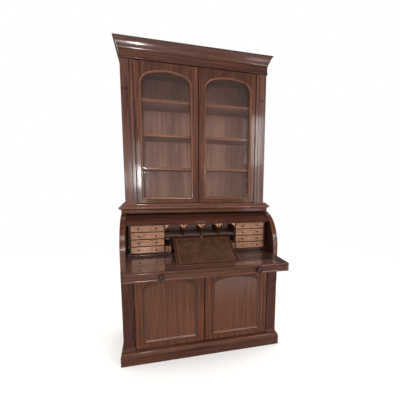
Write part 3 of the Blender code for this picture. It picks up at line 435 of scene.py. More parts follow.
class Blank:
    """A piece on the bench: shapes are added to one mesh, each with its finish and its own cut of wood."""

    cuts = 0
    cut_step = 0.61

    def __init__(self):
        self.mesh = bmesh.new()
        self.cut = self.mesh.faces.layers.float.new("cut")
        self.finishes = []

    def number(self, finish):
        # The finish's place in the piece's list
        if finish not in self.finishes:
            self.finishes.append(finish)
        return self.finishes.index(finish)

    def coat(self, faces, finish):
        Blank.cuts += 1
        index = self.number(finish)
        for face in faces:
            face.material_index = index
            face[self.cut] = self.cut_step * Blank.cuts
            face.smooth = True
        return faces

    def between(self, first, second):
        # The faces that join two rings of corners
        fours = zip(first, first[1:] + first[:1], second[1:] + second[:1], second)
        return [self.mesh.faces.new(four) for four in fours]

    def skin(self, rings, finish, closed=False):
        rows = [[self.mesh.verts.new(point) for point in ring] for ring in rings]
        faces = []
        for first, second in zip(rows, rows[1:] + (rows[:1] if closed else [])):
            faces += self.between(first, second)
        if not closed:
            faces.append(self.mesh.faces.new(rows[0][::-1]))
            faces.append(self.mesh.faces.new(rows[-1]))
        bmesh.ops.recalc_face_normals(self.mesh, faces=faces)
        return self.coat(faces, finish)

    def prism(self, axis, low, high, outline, finish):
        at = "XYZ".index(axis)
        return self.skin([[(*point[:at], end, *point[at:]) for point in outline] for end in (low, high)], finish)

    def board(self, x, y, z, finish, ease=0.0008, edge=None):
        return self.ease(self.prism("Z", *z, rectangle(x, y), finish), ease, edge)

    def dull(self, faces, finish):
        # The flat bands between polished mouldings
        self.coat([f for f in faces if f.normal.y < -0.985], finish)

    def bevel(self, edges, width, index=-1):
        return bmesh.ops.bevel(self.mesh, geom=edges, offset=width, offset_type="OFFSET", segments=2, profile=0.5,
                               affect="EDGES", clamp_overlap=True, material=index)["faces"]

    def ease(self, faces, width, edge=None, angle=28.0):
        # Takes the arris off the sharp edges; the new facets can show a rubbed finish or painted shade
        sharp = {e for f in faces for e in f.edges
                 if len(e.link_faces) == 2 and e.calc_face_angle(0.0) > math.radians(angle)}
        seed = faces[0][self.cut]
        made = self.bevel(list(sharp), width, -1 if edge is None else self.number(edge))
        for face in made:
            face[self.cut] = seed
            face.smooth = True
        return made

    def turned(self, profile, foot, way, finish, steps=32):
        # The profile lists (reach along the axis, radius) from the foot to the tip
        way = Vector(way).normalized()
        side = way.orthogonal().normalized()
        across = way.cross(side)
        rings = []
        for reach, radius in profile:
            centre = Vector(foot) + way * reach
            rings.append([centre + (side * math.cos(turn) + across * math.sin(turn)) * radius
                          for turn in (2 * math.pi * i / steps for i in range(steps))])
        return self.skin(rings, finish)

    def frame_ring(self, x, z, face, arch, profile, finish, fine=2, level=None, quirk=False):
        # A moulding that follows an arched opening; the profile lists (inset, depth behind the face)
        rings = [[(across, face + depth, up) for across, up in arched(x, z, inset, arch, fine)]
                 for inset, depth in profile]
        faces = self.skin(rings, finish, closed=True)
        if level:
            foot, crown = z[0] + profile[-2][0] + 0.001, z[1] - 0.055
            self.coat([f for f in faces if middle_of(f).z < foot], level)
            self.coat([f for f in faces if middle_of(f).z > crown], level)
        if quirk:
            # Old polish and painted shade darken the quirk, and the foot's bevel gets a painted highlight
            count = len(rings[0])
            sunk, sloped = (faces[first * count:last * count] for first, last in (QUIRK_ROWS, BEVEL_ROWS))
            self.coat(sunk, GRIME_AND_SHADE)
            self.coat([f for f in sloped if middle_of(f).z < z[0] + PANELLING_WIDTH], HIGHLIT_BEVEL)

    def copy_of(self, node, finish):
        self.mesh.from_mesh(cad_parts[node].data)
        bmesh.ops.remove_doubles(self.mesh, verts=self.mesh.verts[:], dist=0.00002)
        bmesh.ops.dissolve_limit(self.mesh, angle_limit=math.radians(0.4), verts=self.mesh.verts[:],
                                 edges=self.mesh.edges[:], use_dissolve_boundaries=False)
        return self.coat(self.mesh.faces[:], finish)

    def lift(self, name, place=None):
        # Takes the mesh off the bench as an object
        data = bpy.data.meshes.new(name)
        self.mesh.to_mesh(data)
        self.mesh.free()
        for finish in self.finishes:
            data.materials.append(finish)
        if place is not None:
            data.transform(place)
        return placed(name, data)

    def fit(self, name, body, nodes=(), place=ROOM, slot="mahogany"):
        bmesh.ops.recalc_face_normals(self.mesh, faces=self.mesh.faces[:])
        piece = self.lift(name, place)
        piece.data.set_sharp_from_angle(angle=math.radians(42.0))
        weigh = piece.modifiers.new("even_shading", "WEIGHTED_NORMAL")
        weigh.keep_sharp = True
        weigh.weight = 80
        settle(piece)
        if nodes:
            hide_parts(*nodes)
        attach(piece, body)


def settle(piece):
    # The modifiers' result becomes the piece's own mesh
    bpy.context.view_layer.update()
    result = bpy.data.meshes.new_from_object(piece.evaluated_get(bpy.context.evaluated_depsgraph_get()))
    piece.modifiers.clear()
    piece.data = result


# Rows of like pieces
def row_tree(name, with_object):
    # A straight row: boards of one size, or copies of a turned knob, each with its own cut number
    tree = bpy.data.node_groups.new(name, "GeometryNodeTree")
    tree.is_modifier = True
    tree.interface.new_socket("Geometry", in_out="OUTPUT", socket_type="NodeSocketGeometry")
    wanted = [("Count", "Int"), ("First", "Vector"), ("Step", "Vector"), ("Finish", "Material")]
    wanted.append(("Knob", "Object") if with_object else ("Size", "Vector"))
    for label, kind in wanted:
        tree.interface.new_socket(label, in_out="INPUT", socket_type="NodeSocket" + kind)
    given = {socket.name: Stain(tree, socket) for socket in tree.nodes.new("NodeGroupInput").outputs}
    add = Stain(tree).add
    line = add("GeometryNodeMeshLine", {"Count": given["Count"], "Start Location": given["First"],
                                        "Offset": given["Step"]}, mode="OFFSET")
    if with_object:
        shape = add("GeometryNodeObjectInfo", {"Object": given["Knob"]}, "Geometry")
    else:
        shape = add("GeometryNodeMeshCube", {"Size": given["Size"]}, "Mesh")
    row = add("GeometryNodeInstanceOnPoints", {"Points": line, "Instance": shape})
    chance = add("FunctionNodeRandomValue", {"Seed": 7}, "Value_001", data_type="FLOAT")
    marked = add("GeometryNodeStoreNamedAttribute", {"Geometry": row, "Name": "cut", "Value": chance},
                 data_type="FLOAT", domain="INSTANCE")
    real = add("GeometryNodeRealizeInstances", {"Geometry": marked})
    dressed = add("GeometryNodeSetMaterial", {"Geometry": real, "Material": given["Finish"]})
    tree.links.new(dressed.socket, tree.nodes.new("NodeGroupOutput").inputs[0])
    return tree


BOARD_ROW = row_tree("row_of_boards", False)
KNOB_ROW = row_tree("row_of_knobs", True)


def laid_row(tree, **values):
    # The row's mesh, ready to be taken into a piece
    holder = placed("row", bpy.data.meshes.new("row"))
    step = holder.modifiers.new("row", "NODES")
    step.node_group = tree
    for item in tree.interface.items_tree:
        if item.in_out == "INPUT":
            step[item.identifier] = values[item.name]
    settle(holder)
    data = holder.data
    bpy.data.objects.remove(holder)
    return data


BOARD_LAP = 0.0006
BOARD_BEVEL = 0.003
CUBE_FACES = 6


def boarded(name, half, thick, z, count, finish, node):
    # Upright boards, lapped a little so that no light comes through the joints; old dirt and painted shade darken
    # the rear bevels
    pitch = (2 * half - BOARD_LAP) / count
    blank = Blank()
    blank.mesh.from_mesh(laid_row(
        BOARD_ROW, Count=count, Step=(pitch, 0.0, 0.0), Finish=finish, Size=(pitch + BOARD_LAP, thick, z[1] - z[0]),
        First=((BOARD_LAP + pitch) / 2 - half, DEPTH - thick / 2, sum(z) / 2)))
    bmesh.ops.remove_doubles(blank.mesh, verts=blank.mesh.verts[:], dist=0.00001)
    for i, face in enumerate(blank.mesh.faces):
        face[blank.cut] = Blank.cut_step * (i // CUBE_FACES) + 0.13
    blank.bevel([e for e in blank.mesh.edges if abs(e.verts[0].co.z - e.verts[1].co.z) > 0.1], BOARD_BEVEL)
    bmesh.ops.recalc_face_normals(blank.mesh, faces=blank.mesh.faces[:])
    blank.finishes = [finish, RAW["Z"], GRIME_AND_SHADE]
    for face in blank.mesh.faces:
        face.smooth = True
        dirt_and_shade = abs(face.normal.x) > 0.3 and face.normal.y > 0.1
        face.material_index = 2 if dirt_and_shade else 1 if face.normal.y > 0.6 else 0
    blank.fit(name, "carcase", (node,), slot="inside")


# Cornice, waist and plinth
def moulded(name, profile, front, half, wall, node, back_wall, wood, band):
    # A moulding round three sides, mitred at the front corners; the loop lists (out in front, out beside, z)
    blank = Blank()
    low, high = profile[0][1], profile[-1][1]
    loop = [(out, out, up) for out, up in profile] + [(-wall[0], -wall[1], high), (-wall[0], -wall[1], low)]
    rows = [[blank.mesh.verts.new((x * (half + beside), front - ahead if at_front else DEPTH, up))
             for ahead, beside, up in loop] for x, at_front in ((-1, False), (-1, True), (1, True), (1, False))]
    faces = []
    for grain, first, second in zip("YXY", rows, rows[1:]):
        faces += blank.coat(blank.between(first, second), wood[grain])
    faces += blank.coat([blank.mesh.faces.new(rows[0]), blank.mesh.faces.new(rows[-1][::-1])], wood["Y"])
    bmesh.ops.recalc_face_normals(blank.mesh, faces=faces)
    blank.dull(faces, band)
    if back_wall:
        inner = half - wall[1] - SEAT
        blank.board((-inner, inner), (DEPTH - 0.025, DEPTH), (low, high), RAW["X"])
    blank.fit(name, "carcase", (node,))


def risen(base, *points):
    return [(out, base + up) for out, up in milli(*points)]


cornice = [(0.006, CORNICE_BASE)] + arc((0.006, CORNICE_BASE + 0.004), 0.004, -90, 90, 12)[1:]
cornice += risen(CORNICE_BASE, (4, 8.4), (4, 57.6), (4.6, 58), (7.4, 58.2), (7.8, 58.6), (7.8, 63.4), (7.4, 63.8))
cornice += risen(
    TOTAL_HEIGHT, (8.2, -64), (9.4, -60), (11.4, -56), (14.2, -52), (16.8, -47), (18.8, -42), (20.5, -37),
    (22.1, -32), (24, -27), (26.4, -22), (29.4, -17), (33, -12), (36.8, -7.8), (37.6, -7.8), (38.4, -7.2),
    (38.4, -1), (37.4, 0))
moulded("cornice_moulding", cornice, CASE_FRONT, CASE_HALF, (0.025, 0.025), "cornice", True, CORNICE, HEAD["X"])

waist = [(0, CASE_BASE)] + arc((0.0075, CASE_BASE + 0.015), 0.01, -75, 80, 18)
waist += risen(CASE_BASE, (8, 26.8), (5.2, 28.2), (1.6, 31.2), (-2, 35), (-4.6, 38.4), (-5.2, 39.6))
waist += risen(WAIST_TOP, (-5.2, -1.2), (-6.4, 0))
# The waist takes the lighter copy of the mahogany, a painted highlight
moulded("waist_collar", waist, DESK_TOP_FRONT, DESK_HALF, (0.0127, 0.0301), "waist_moulding", False,
        WAIST, ALONG["X"])

plinth = milli((21, 0), (22, 1.2), (22, 70), (21.2, 71.6))
plinth += oval((0.004, 0.0724), 0.0165, 0.025, range(4, 92, 8)) + milli((4, 98.2), (4, 103.4), (3.4, 104))
moulded("plinth_frame", plinth, 0.0, DESK_HALF, (0.03, 0.038), "plinth", True, ALONG, HEAD["X"])


# Carcase boards
def plain_board(node, finish, ease=0.001, slot="mahogany", lipping=None):
    x, y, z = zip(*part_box(node))
    blank = Blank()
    faces = blank.prism("Z", *z, rectangle(x, y), finish)
    if lipping:
        blank.coat([f for f in faces if f.normal.y < -0.9], lipping)
    blank.ease(faces, ease, lipping or EDGE)
    blank.fit(node + "_board", "carcase", (node,), None, slot)


for end, side in ENDS:
    plain_board("bookcase_side_" + end, ALONG["Z"])
for level in ("lower", "middle", "upper"):
    plain_board("shelf_" + level, BACKING["X"], 0.0022, "inside", LIPPING)
plain_board("desk_top", ALONG["X"])
for node, finish in (("slide_bed", ALONG["X"]), ("bookcase_floor", BACKING["X"]), ("bookcase_top", RAW["X"]),
                     ("cupboard_floor", BACKING["X"])):
    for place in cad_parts[node].material_slots:
        place.material = finish

# The bookcase's back boards darken towards the top, a painted shade
boarded("bookcase_back_boards", 0.5333, 0.01, (CASE_BASE, CASE_TOP), 9, BACKING["Z"], "bookcase_back")
boarded("desk_back_boards", 0.5467, 0.014, (STAND, DESK_HEIGHT), 7, NEST["Z"], "desk_back")

SIDE_RADIUS = 0.268
COLUMN_IN = 0.5035
STRIP_X, UPPER_COLUMN_X = (0.4705, 0.4924), (0.4936, CASE_HALF)
NECK = (1.963, 1.971)
# The columns' eased edges take the dark finish: painted shade along the joints
COLUMN_EASE = (0.001, GRIME_AND_SHADE, 60.0)
side_outline = [(0.0226, STAND), (0.0226, 0.7006), (0, 0.7006)] + drum(SIDE_RADIUS, 0, 90, 56)
side_outline += [(DEPTH, DESK_HEIGHT), (DEPTH, STAND)]
lower_column = [(FRONT, STAND), (-0.007, STAND), (-0.007, 0.1162), (-0.0062, 0.1176)]
lower_column += oval((-0.0062, 0.127), 0.0062, 0.0094, range(-75, 1, 15))
lower_column += [(0.0, 0.5338), (-0.0012, 0.535), (-0.003, 0.538), (-0.003, BED_TOP), (FRONT, BED_TOP)]
upper_column = [(CASE_FRONT + back, up) for back, up in (
    (FRONT, CASE_BASE), (0.0, CASE_BASE), (0.0, 1.964), (0.0018, 1.9662), (0.0018, 1.9678), (0.0, 1.97),
    (0.0, CASE_TOP), (FRONT, CASE_TOP))]
case_edge = rectangle((CASE_FRONT, CASE_FRONT + FRONT), (CASE_BASE, CASE_TOP))
for end, side in ENDS:
    blank = Blank()
    faces = blank.prism("X", *signed(side, (INSIDE, DESK_HALF)), side_outline, ALONG["Z"])
    # The inner faces take the darker mahogany: painted shade
    blank.coat([f for f in faces if f.normal.x * side < -0.9], DUSKY["Z"])
    blank.coat([f for f in faces if f.normal.y < -0.3 and middle_of(f).z > 0.72], POLISH["Z"])
    blank.ease(faces, 0.0012, EDGE)
    blank.fit("desk_side_%s_board" % end, "carcase", ("desk_side_" + end,))
    blank = Blank()
    faces = blank.prism("X", *signed(side, (COLUMN_IN, DESK_HALF)), lower_column, STANDING)
    blank.coat([f for f in faces if abs(f.normal.x) < 0.5 and middle_of(f).z < 0.128], ALONG["X"])
    # Painted shade under the capital's step and on the inner faces
    blank.coat([f for f in faces if f.normal.z < -0.3 and middle_of(f).z > 0.5 or f.normal.x * side < -0.9], GRIME_AND_SHADE)
    blank.ease(faces, *COLUMN_EASE)
    blank.fit("lower_pilaster_%s_column" % end, "carcase", ("lower_pilaster_" + end,))
    # The carcase's edge shows as a strip between the door and the column
    blank = Blank()
    for span, outline in ((STRIP_X, case_edge), (UPPER_COLUMN_X, upper_column)):
        faces = blank.prism("X", *signed(side, span), outline, COLUMN)
        # Painted shade in the neck's groove and on the faces towards the door
        for face in faces:
            middle = middle_of(face)
            in_neck = NECK[0] < middle.z < NECK[1] and abs(face.normal.x) < 0.5
            if in_neck or abs(face.normal.x) > 0.9 and abs(middle.x) < 0.5:
                blank.coat([face], GRIME_AND_SHADE)
        blank.ease(faces, *COLUMN_EASE)
    blank.fit("upper_pilaster_%s_column" % end, "carcase", ("upper_pilaster_" + end,))


# Doors
def key_outline(x, z, grow):
    points = arc((x, z + 0.004), 0.0034 + grow, -52, 232, 18)
    return points + [(x - 0.0022 - grow, z - 0.006 - grow), (x + 0.0022 + grow, z - 0.006 - grow)]


KEY_RIM = milli((1.6, 2), (1.6, -0.3), (1.2, -0.7), (0.4, -0.7), (0, -0.3), (0, 2))


def keyhole(name, x, z, face, body):
    blank = Blank()
    blank.skin([[(a, face + depth, b) for a, b in key_outline(x, z, grow)] for grow, depth in KEY_RIM],
               BRONZED, closed=True)
    blank.prism("Y", face - 0.0002, face + 0.002, key_outline(x, z, -0.0001), LOCK_DARK)
    blank.fit(name, body, slot="brass")


GLAZING = milli(
    (0, 4), (0, -1.2), (1.2, -3.4), (3.6, -5.3), (6.8, -6), (10.4, -5.6), (13.4, -4.2), (15.6, -1.8),
    (16.6, 0.8), (18, 1.6), (18, 9.8), (6, 9.8))
PANELLING = milli(
    (0, 4), (0, -1.2), (0.6, -2.6), (2.2, -3.6), (4.4, -3.6), (6.2, -2.6), (7, -0.8), (7.2, 1.6), (8.4, 1.6),
    (8.6, 0), (10, -0.6), (13.2, -0.2), (17, 1.8), (20.8, 5), (24, 8), (25.8, 9.8), (5, 9.8))
PANELLING_WIDTH = 0.026
QUIRK_ROWS, BEVEL_ROWS = (6, 9), (11, 15)
DOORS = {
    "upper": SimpleNamespace(
        face=CASE_FRONT, edge=0.467, z=(1.148, 2.1655), ring_x=(0.043, 0.433), ring_z=(1.177, 2.117), lap=0.0081,
        # The upper doors' heads take the darker copy: painted shade under the cornice
        arch=(0.11, 0.095), profile=GLAZING, ring=RING, quirk=False, wood=ALONG["Z"], head=HEAD["Z"],
        fill=("pane_", "glass", "glass_"), fill_finish={"left": GLASS, "right": GLASS},
        fill_thick=0.003, fill_ease=0.0002,
        hinge_x=0.46875, hinge_long=0.064, hinges={"bottom": 1.248, "middle": 1.654, "top": 2.0655}),
    "lower": SimpleNamespace(
        face=0.0, edge=0.5, z=(0.1083, 0.657), ring_x=(0.053, 0.449), ring_z=(0.14, 0.619), lap=0.00585,
        arch=(0.09, 0.07), profile=PANELLING, ring=DEEP, quirk=True, wood=CUPBOARD, head=CUPBOARD,
        fill=("door_panel_", "mahogany", "panel_"), fill_finish=PANEL, fill_thick=0.01, fill_ease=0.0004,
        hinge_x=0.50175, hinge_long=0.056, hinges={"bottom": 0.2153, "top": 0.47})}
MEETING = 0.0012
FILL_Y = 0.0103
FILL_INSET = 0.0013
PIN_AHEAD = 0.0045
KNUCKLES = 5


def framed_door(level, end, side):
    door = DOORS[level]
    face, back, z, ring_z = door.face, door.face + FRONT, door.z, door.ring_z
    whole = "%s_door_%s" % (level, end)
    body = whole + "_leaf"
    inner = (door.ring_x[0] + door.lap, door.ring_x[1] - door.lap)
    around = signed(side, door.ring_x)
    blank = Blank()
    for stile in ((MEETING, inner[0]), (inner[1], door.edge)):
        faces = blank.prism("Z", *z, rectangle(signed(side, stile), (face, back)), door.wood)
        # Painted shade on the stiles' sides and eased edges, for dark gaps beside the doors
        blank.coat([f for f in faces if abs(f.normal.x) > 0.9], GRIME_AND_SHADE)
        blank.ease(faces, 0.0018, GRIME_AND_SHADE)
    left, right = signed(side, inner)
    blank.board((left, right), (face, back), (z[0], ring_z[0] + door.lap), door.wood, 0.0004)
    head = [(left, z[1]), *arched(around, ring_z, door.lap, door.arch)[:1:-1], (right, z[1])]
    blank.ease(blank.prism("Y", face, back, head, door.head), 0.0004)
    blank.frame_ring(around, ring_z, face, door.arch, door.profile, door.ring["Z"], 2, door.ring["X"], door.quirk)
    # The fillet that holds the pane or the panel in from behind
    rear = face + FILL_Y + door.fill_thick + SEAT
    depth = back - rear
    fillet = [(0.007, 0.0), (0.007, depth), (0.01, depth), (0.014, 0.0014), (0.014, 0.0)]
    blank.frame_ring(around, ring_z, rear, door.arch, fillet, door.wood, 1)
    if side > 0:
        bead = arc((0.00735, face + 0.0012), 0.0052, 180, 360, 12)
        bead = [(0.0015, face + 0.004)] + bead + [(0.0132, face + 0.004)]
        blank.prism("Z", z[0] + 0.001, z[1] - 0.001, bead, door.wood)
    blank.fit(whole + "_frame", body, (whole,))
    blank = Blank()
    blank.ease(blank.prism("Y", face + FILL_Y, face + FILL_Y + door.fill_thick,
                           arched(around, ring_z, FILL_INSET, door.arch), door.fill_finish[end]), door.fill_ease)
    name, slot, node = door.fill
    blank.fit(name + end, body, (node + end,), slot=slot)
    pin, length = side * door.hinge_x, door.hinge_long
    for place, height in door.hinges.items():
        node = "%s_hinge_%s_%s" % (level, end, place)
        blank = Blank()
        low, high = height - length / 2, height + length / 2
        barrel = [(0.0, 0.0012), (0.001, 0.003)]
        step = (length - 0.0024) / KNUCKLES
        for i in range(KNUCKLES):
            start, stop = 0.0012 + i * step, 0.0012 + (i + 1) * step
            barrel += [(start, 0.0034), (start + 0.0003, 0.004), (stop - 0.0003, 0.004), (stop, 0.0034)]
        barrel += [(length - 0.001, 0.003), (length, 0.0012)]
        blank.turned(barrel, (pin, face - PIN_AHEAD, low), (0, 0, 1), BRONZED, 20)
        blank.board((pin - 0.00075, pin + 0.00075), (face - PIN_AHEAD, face + 0.018), (low + 0.001, high - 0.001),
                    BRONZED, 0.0002)
        blank.fit(node + "_butt", body, (node,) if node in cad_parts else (), slot="brass")


for end, side in ENDS:
    framed_door("upper", end, side)
    framed_door("lower", end, side)
keyhole("upper_keyhole", 0.025, 1.641, CASE_FRONT, "upper_door_right_leaf")
keyhole("lower_keyhole", 0.024, 0.385, 0.0, "lower_door_right_leaf")

# Cylinder fall, rolled up under the waist
OUTER, INNER, LIP_RADIUS = 0.258, 0.236, 0.262
FALL_HALF = 0.544
low, lip_end = -8.805, -1.005
shell = drum(OUTER, low, low, 1)[:1] + drum(0.2612, low + 0.2, low + 0.6, 1)
shell += drum(LIP_RADIUS, low + 0.9, lip_end - 0.9, 5) + drum(0.2608, lip_end - 0.4, lip_end, 1)
shell += drum(OUTER, lip_end + 0.1, 90, 56) + drum(INNER, 90, low + 5, 52)
heading = 180.0 - (low + 90.0) / 2
way = Vector((math.cos(math.radians(heading)), math.sin(math.radians(heading))))
across = Vector((-way.y, way.x)) * 0.025
rim = Vector(PIVOT) + way * (OUTER + INNER) / 2
arm = arc(PIVOT, 0.018, heading + 90, heading + 270, 16) + [tuple(rim - across), tuple(rim + across)]
blank = Blank()
# The shell and arms take the darker mahogany: painted shade under the waist; the lip's band is lighter and redder
faces = blank.prism("X", -FALL_HALF, FALL_HALF, shell, DUSKY["X"])
front_band = []
for face in faces:
    reach = middle_of(face).yz - Vector(PIVOT)
    turn = math.degrees(math.atan2(reach.y, -reach.x))
    if abs(face.normal.x) < 0.5 and reach.length > OUTER - 0.0005 and turn < 5.0:
        front_band.append(face)
blank.coat(front_band, LIP)
blank.ease(faces, 0.0008)
for side in (-1, 1):
    blank.ease(blank.prism("X", *signed(side, (0.531, 0.5438)), arm, DUSKY["Z"]), 0.0008)
    blank.turned([(0, 0.006), (0.0185, 0.006), (0.0195, 0.005)], (side * 0.5395, *PIVOT), (side, 0, 0), BRASS, 24)
blank.fit("cylinder_fall_shell", "fall", ("cylinder_fall",), FALL_UP)
small_knob = milli(
    (0, 8), (1.6, 8), (2.2, 7), (3.4, 5.6), (6.2, 5.2), (8.5, 6.8), (11, 9.2), (13.5, 10.4), (16, 10.2),
    (18.2, 8.6), (19.9, 5.8), (20.8, 2.6), (21, 0.4))
turn = math.radians(9.7)
outward = Vector((0.0, -math.cos(turn), math.sin(turn)))
for end, side in ENDS:
    blank = Blank()
    blank.turned(small_knob, Vector((side * 0.328, *PIVOT)) + outward * (OUTER + SEAT), outward, ROSEWOOD)
    blank.fit("fall_knob_" + end, "fall", ("cylinder_knob_" + end,), FALL_UP)
# Lock plate on the lip
blank = Blank()
plate = drum(LIP_RADIUS + 0.0001, low + 1.6, low + 5, 4) + drum(LIP_RADIUS + 0.0006, low + 5, low + 1.6, 4)
blank.ease(blank.prism("X", -0.046, 0.028, plate, PLATE), 0.0001)
blank.fit("fall_lock_plate", "fall", (), FALL_UP, "brass")

# Writing slide: boards round the well that the slope lies in, clamped at both ends
UNDER = 0.7325
SLIDE_Y = (0.0223, 0.472)
CLAMP = 0.4745
WELL_HALF, WELL_EDGE, WELL_Y = 0.2187, 0.28, (0.1083, 0.438)
top = (UNDER, SLIDE_TOP)
blank = Blank()
for y in ((SLIDE_Y[0], WELL_Y[0]), (WELL_Y[1], SLIDE_Y[1])):
    blank.board((-CLAMP, CLAMP), y, top, GLOSSY["X"], 0.0004)
# The right-hand boards take the darker copy of the polish: painted shade
for side, polish in ((-1, GLOSSY), (1, DEEP_GLOSSY)):
    blank.board(signed(side, (WELL_HALF, WELL_EDGE)), WELL_Y, top, polish["Y"], 0.0004)
    blank.board(signed(side, (WELL_EDGE, CLAMP)), WELL_Y, top, polish["X"], 0.0004)
    blank.board(signed(side, (CLAMP + 0.0005, SLIDE_HALF)), SLIDE_Y, top, polish["Y"], 0.0006)
    blank.board(signed(side, (0.515, SLIDE_HALF)), SLIDE_Y, (BED_TOP + SEAT, UNDER), polish["Y"], 0.0006)
blank.board((-WELL_HALF, WELL_HALF), WELL_Y, (UNDER, UNDER + 0.009), NEST["X"], 0.0002)
# The slide's ends take the darker mahogany: painted shade
blank.coat([f for f in blank.mesh.faces if abs(middle_of(f).x) > SLIDE_HALF - 0.0001], DUSKY["Y"])
blank.fit("writing_slide_boards", "slide", ("writing_slide",), SLIDE_OUT)
RAIL_HALF = 0.5275
rail = [(FRONT, 0.7035), (FRONT, SLIDE_TOP)] + arc((0.005, 0.757), 0.005, 90, 270, 16)
rail += milli((5.8, 751.2), (5.8, 750.2), (3.4, 749.4), (3, 748.6), (3, 720), (3.6, 719.2), (6, 718.8))
rail += arc((0.0075, 0.711), 0.0075, 97, 262, 16)
blank = Blank()
tip = (RAIL_HALF + 0.0002, SLIDE_HALF)
for span, grain, band in (((-RAIL_HALF, RAIL_HALF), "X", HEAD), (signed(-1, tip), "Z", ALONG), (tip, "Z", ALONG)):
    faces = blank.prism("X", *span, rail, POLISH[grain])
    blank.dull(faces, band[grain])
    blank.ease(faces, 0.0003, angle=60.0)
blank.fit("slide_front_rail", "slide", ("slide_front",), SLIDE_OUT)
big_knob = milli(
    (0.3, 13), (5.8, 13), (6.7, 12.2), (8, 10.6), (10, 10), (12.4, 10.8), (15, 13.2), (17.8, 16.6),
    (20.5, 19.4), (23.2, 20.8), (25.8, 20.9), (28.5, 19.7), (30.8, 17.4), (32.4, 14.2), (33.5, 10.6),
    (34.2, 6.6), (34.6, 2.4), (34.7, 0.4))
for end, side in ENDS:
    blank = Blank()
    blank.turned(big_knob, (side * 0.3215, 0.0027, 0.731), (0, -1, 0), ROSEWOOD, 40)
    blank.fit("slide_knob_%s_turning" % end, "slide", ("slide_knob_" + end,), SLIDE_OUT)

# Writing slope with its leather, and the strut behind it
RAIL_WIDE = 0.025
BED = 0.004
far = SLOPE_Y + SLOPE_LENGTH
under = SLIDE_TOP - 0.014
pad_half = SLOPE_HALF - RAIL_WIDE
pad_y = (SLOPE_Y + RAIL_WIDE, far - RAIL_WIDE)
corners = rectangle((-SLOPE_HALF, SLOPE_HALF), (SLOPE_Y, far))
inner = rectangle((-pad_half, pad_half), pad_y)
blank = Blank()
for i in range(4):
    j = (i + 1) % 4
    mitred = [corners[i], corners[j], inner[j], inner[i]]
    blank.ease(blank.prism("Z", under + BED, SLIDE_TOP, mitred, SLOPE_WOOD["XY"[i % 2]]), 0.0008, EDGE)
blank.board((-SLOPE_HALF + 0.001, SLOPE_HALF - 0.001), (SLOPE_Y + 0.001, far - 0.001), (under, under + BED),
            NEST["X"], 0.0006)
blank.board((-pad_half, pad_half), pad_y, (under + BED, SLIDE_TOP - 0.0018), NEST["X"], 0.0002)
blank.fit("slope_rails", "slope", ("slope_frame",), SLOPE_UP, "red_mahogany")

SQUARES = (40, 28)
SAG = 0.00025
blank = Blank()
flat = blank.mesh.loops.layers.uv.new("pad")
x0, y0 = SEAT - pad_half, pad_y[0] + SEAT
wide, long = -2 * x0, pad_y[1] - SEAT - y0
grid = []
for i in range(SQUARES[0] + 1):
    u = i / SQUARES[0]
    grid.append([])
    for j in range(SQUARES[1] + 1):
        v = j / SQUARES[1]
        sag = SAG * math.sin(9 * u + 2) * math.sin(7 * v + 1)
        grid[i].append(blank.mesh.verts.new((x0 + wide * u, y0 + long * v, SLIDE_TOP - 0.0006 + sag)))
leather = [blank.mesh.faces.new((grid[i][j], grid[i + 1][j], grid[i + 1][j + 1], grid[i][j + 1]))
           for i in range(SQUARES[0]) for j in range(SQUARES[1])]
for face in leather:
    for loop in face.loops:
        loop[flat].uv = ((loop.vert.co.x - x0) / wide, (loop.vert.co.y - y0) / long)
for item in bmesh.ops.extrude_face_region(blank.mesh, geom=leather)["geom"]:
    if isinstance(item, bmesh.types.BMVert):
        item.co.z = SLIDE_TOP - 0.0015
blank.coat(blank.mesh.faces[:], LEATHER)
blank.fit("slope_leather_sheet", "slope", ("slope_leather",), SLOPE_UP, "leather")

# Brass catch let into the slope's far edge
CATCH = 0.0065
blank = Blank()
tongue = arc((0, far - 0.01), CATCH, 180, 360, 14) + [(CATCH, far - 0.0006), (-CATCH, far - 0.0006)]
blank.ease(blank.prism("Z", SLIDE_TOP - 0.001, SLIDE_TOP + 0.0007, tongue, BRASS), 0.0002)
button = milli((0, 4.2), (0.8, 4.2), (1.2, 3), (2.2, 2.6), (3, 3.8), (4.2, 4.4), (5.2, 3.4), (5.6, 0.6))
blank.turned(button, (0, far - 0.0075, SLIDE_TOP + 0.0006), (0, 0, 1), BRASS, 20)
blank.fit("slope_catch", "slope", (), SLOPE_UP, "brass")

STRUT_LONG, STRUT_HALF_THICK = 0.1137, 0.0025
blank = Blank()
strut_end = STRUT_AXIS[0] + STRUT_LONG
strut = arc(STRUT_AXIS, STRUT_HALF_THICK, 90, 270, 12)
strut += [(strut_end, STRUT_AXIS[1] - STRUT_HALF_THICK), (strut_end, STRUT_AXIS[1] + STRUT_HALF_THICK)]
# The strut takes the darker mahogany: painted shade
blank.ease(blank.prism("X", -0.03, 0.03, strut, DUSKY["Y"]), 0.0006, EDGE)
blank.fit("slope_strut_board", "strut", ("slope_strut",), STRUT_UP)

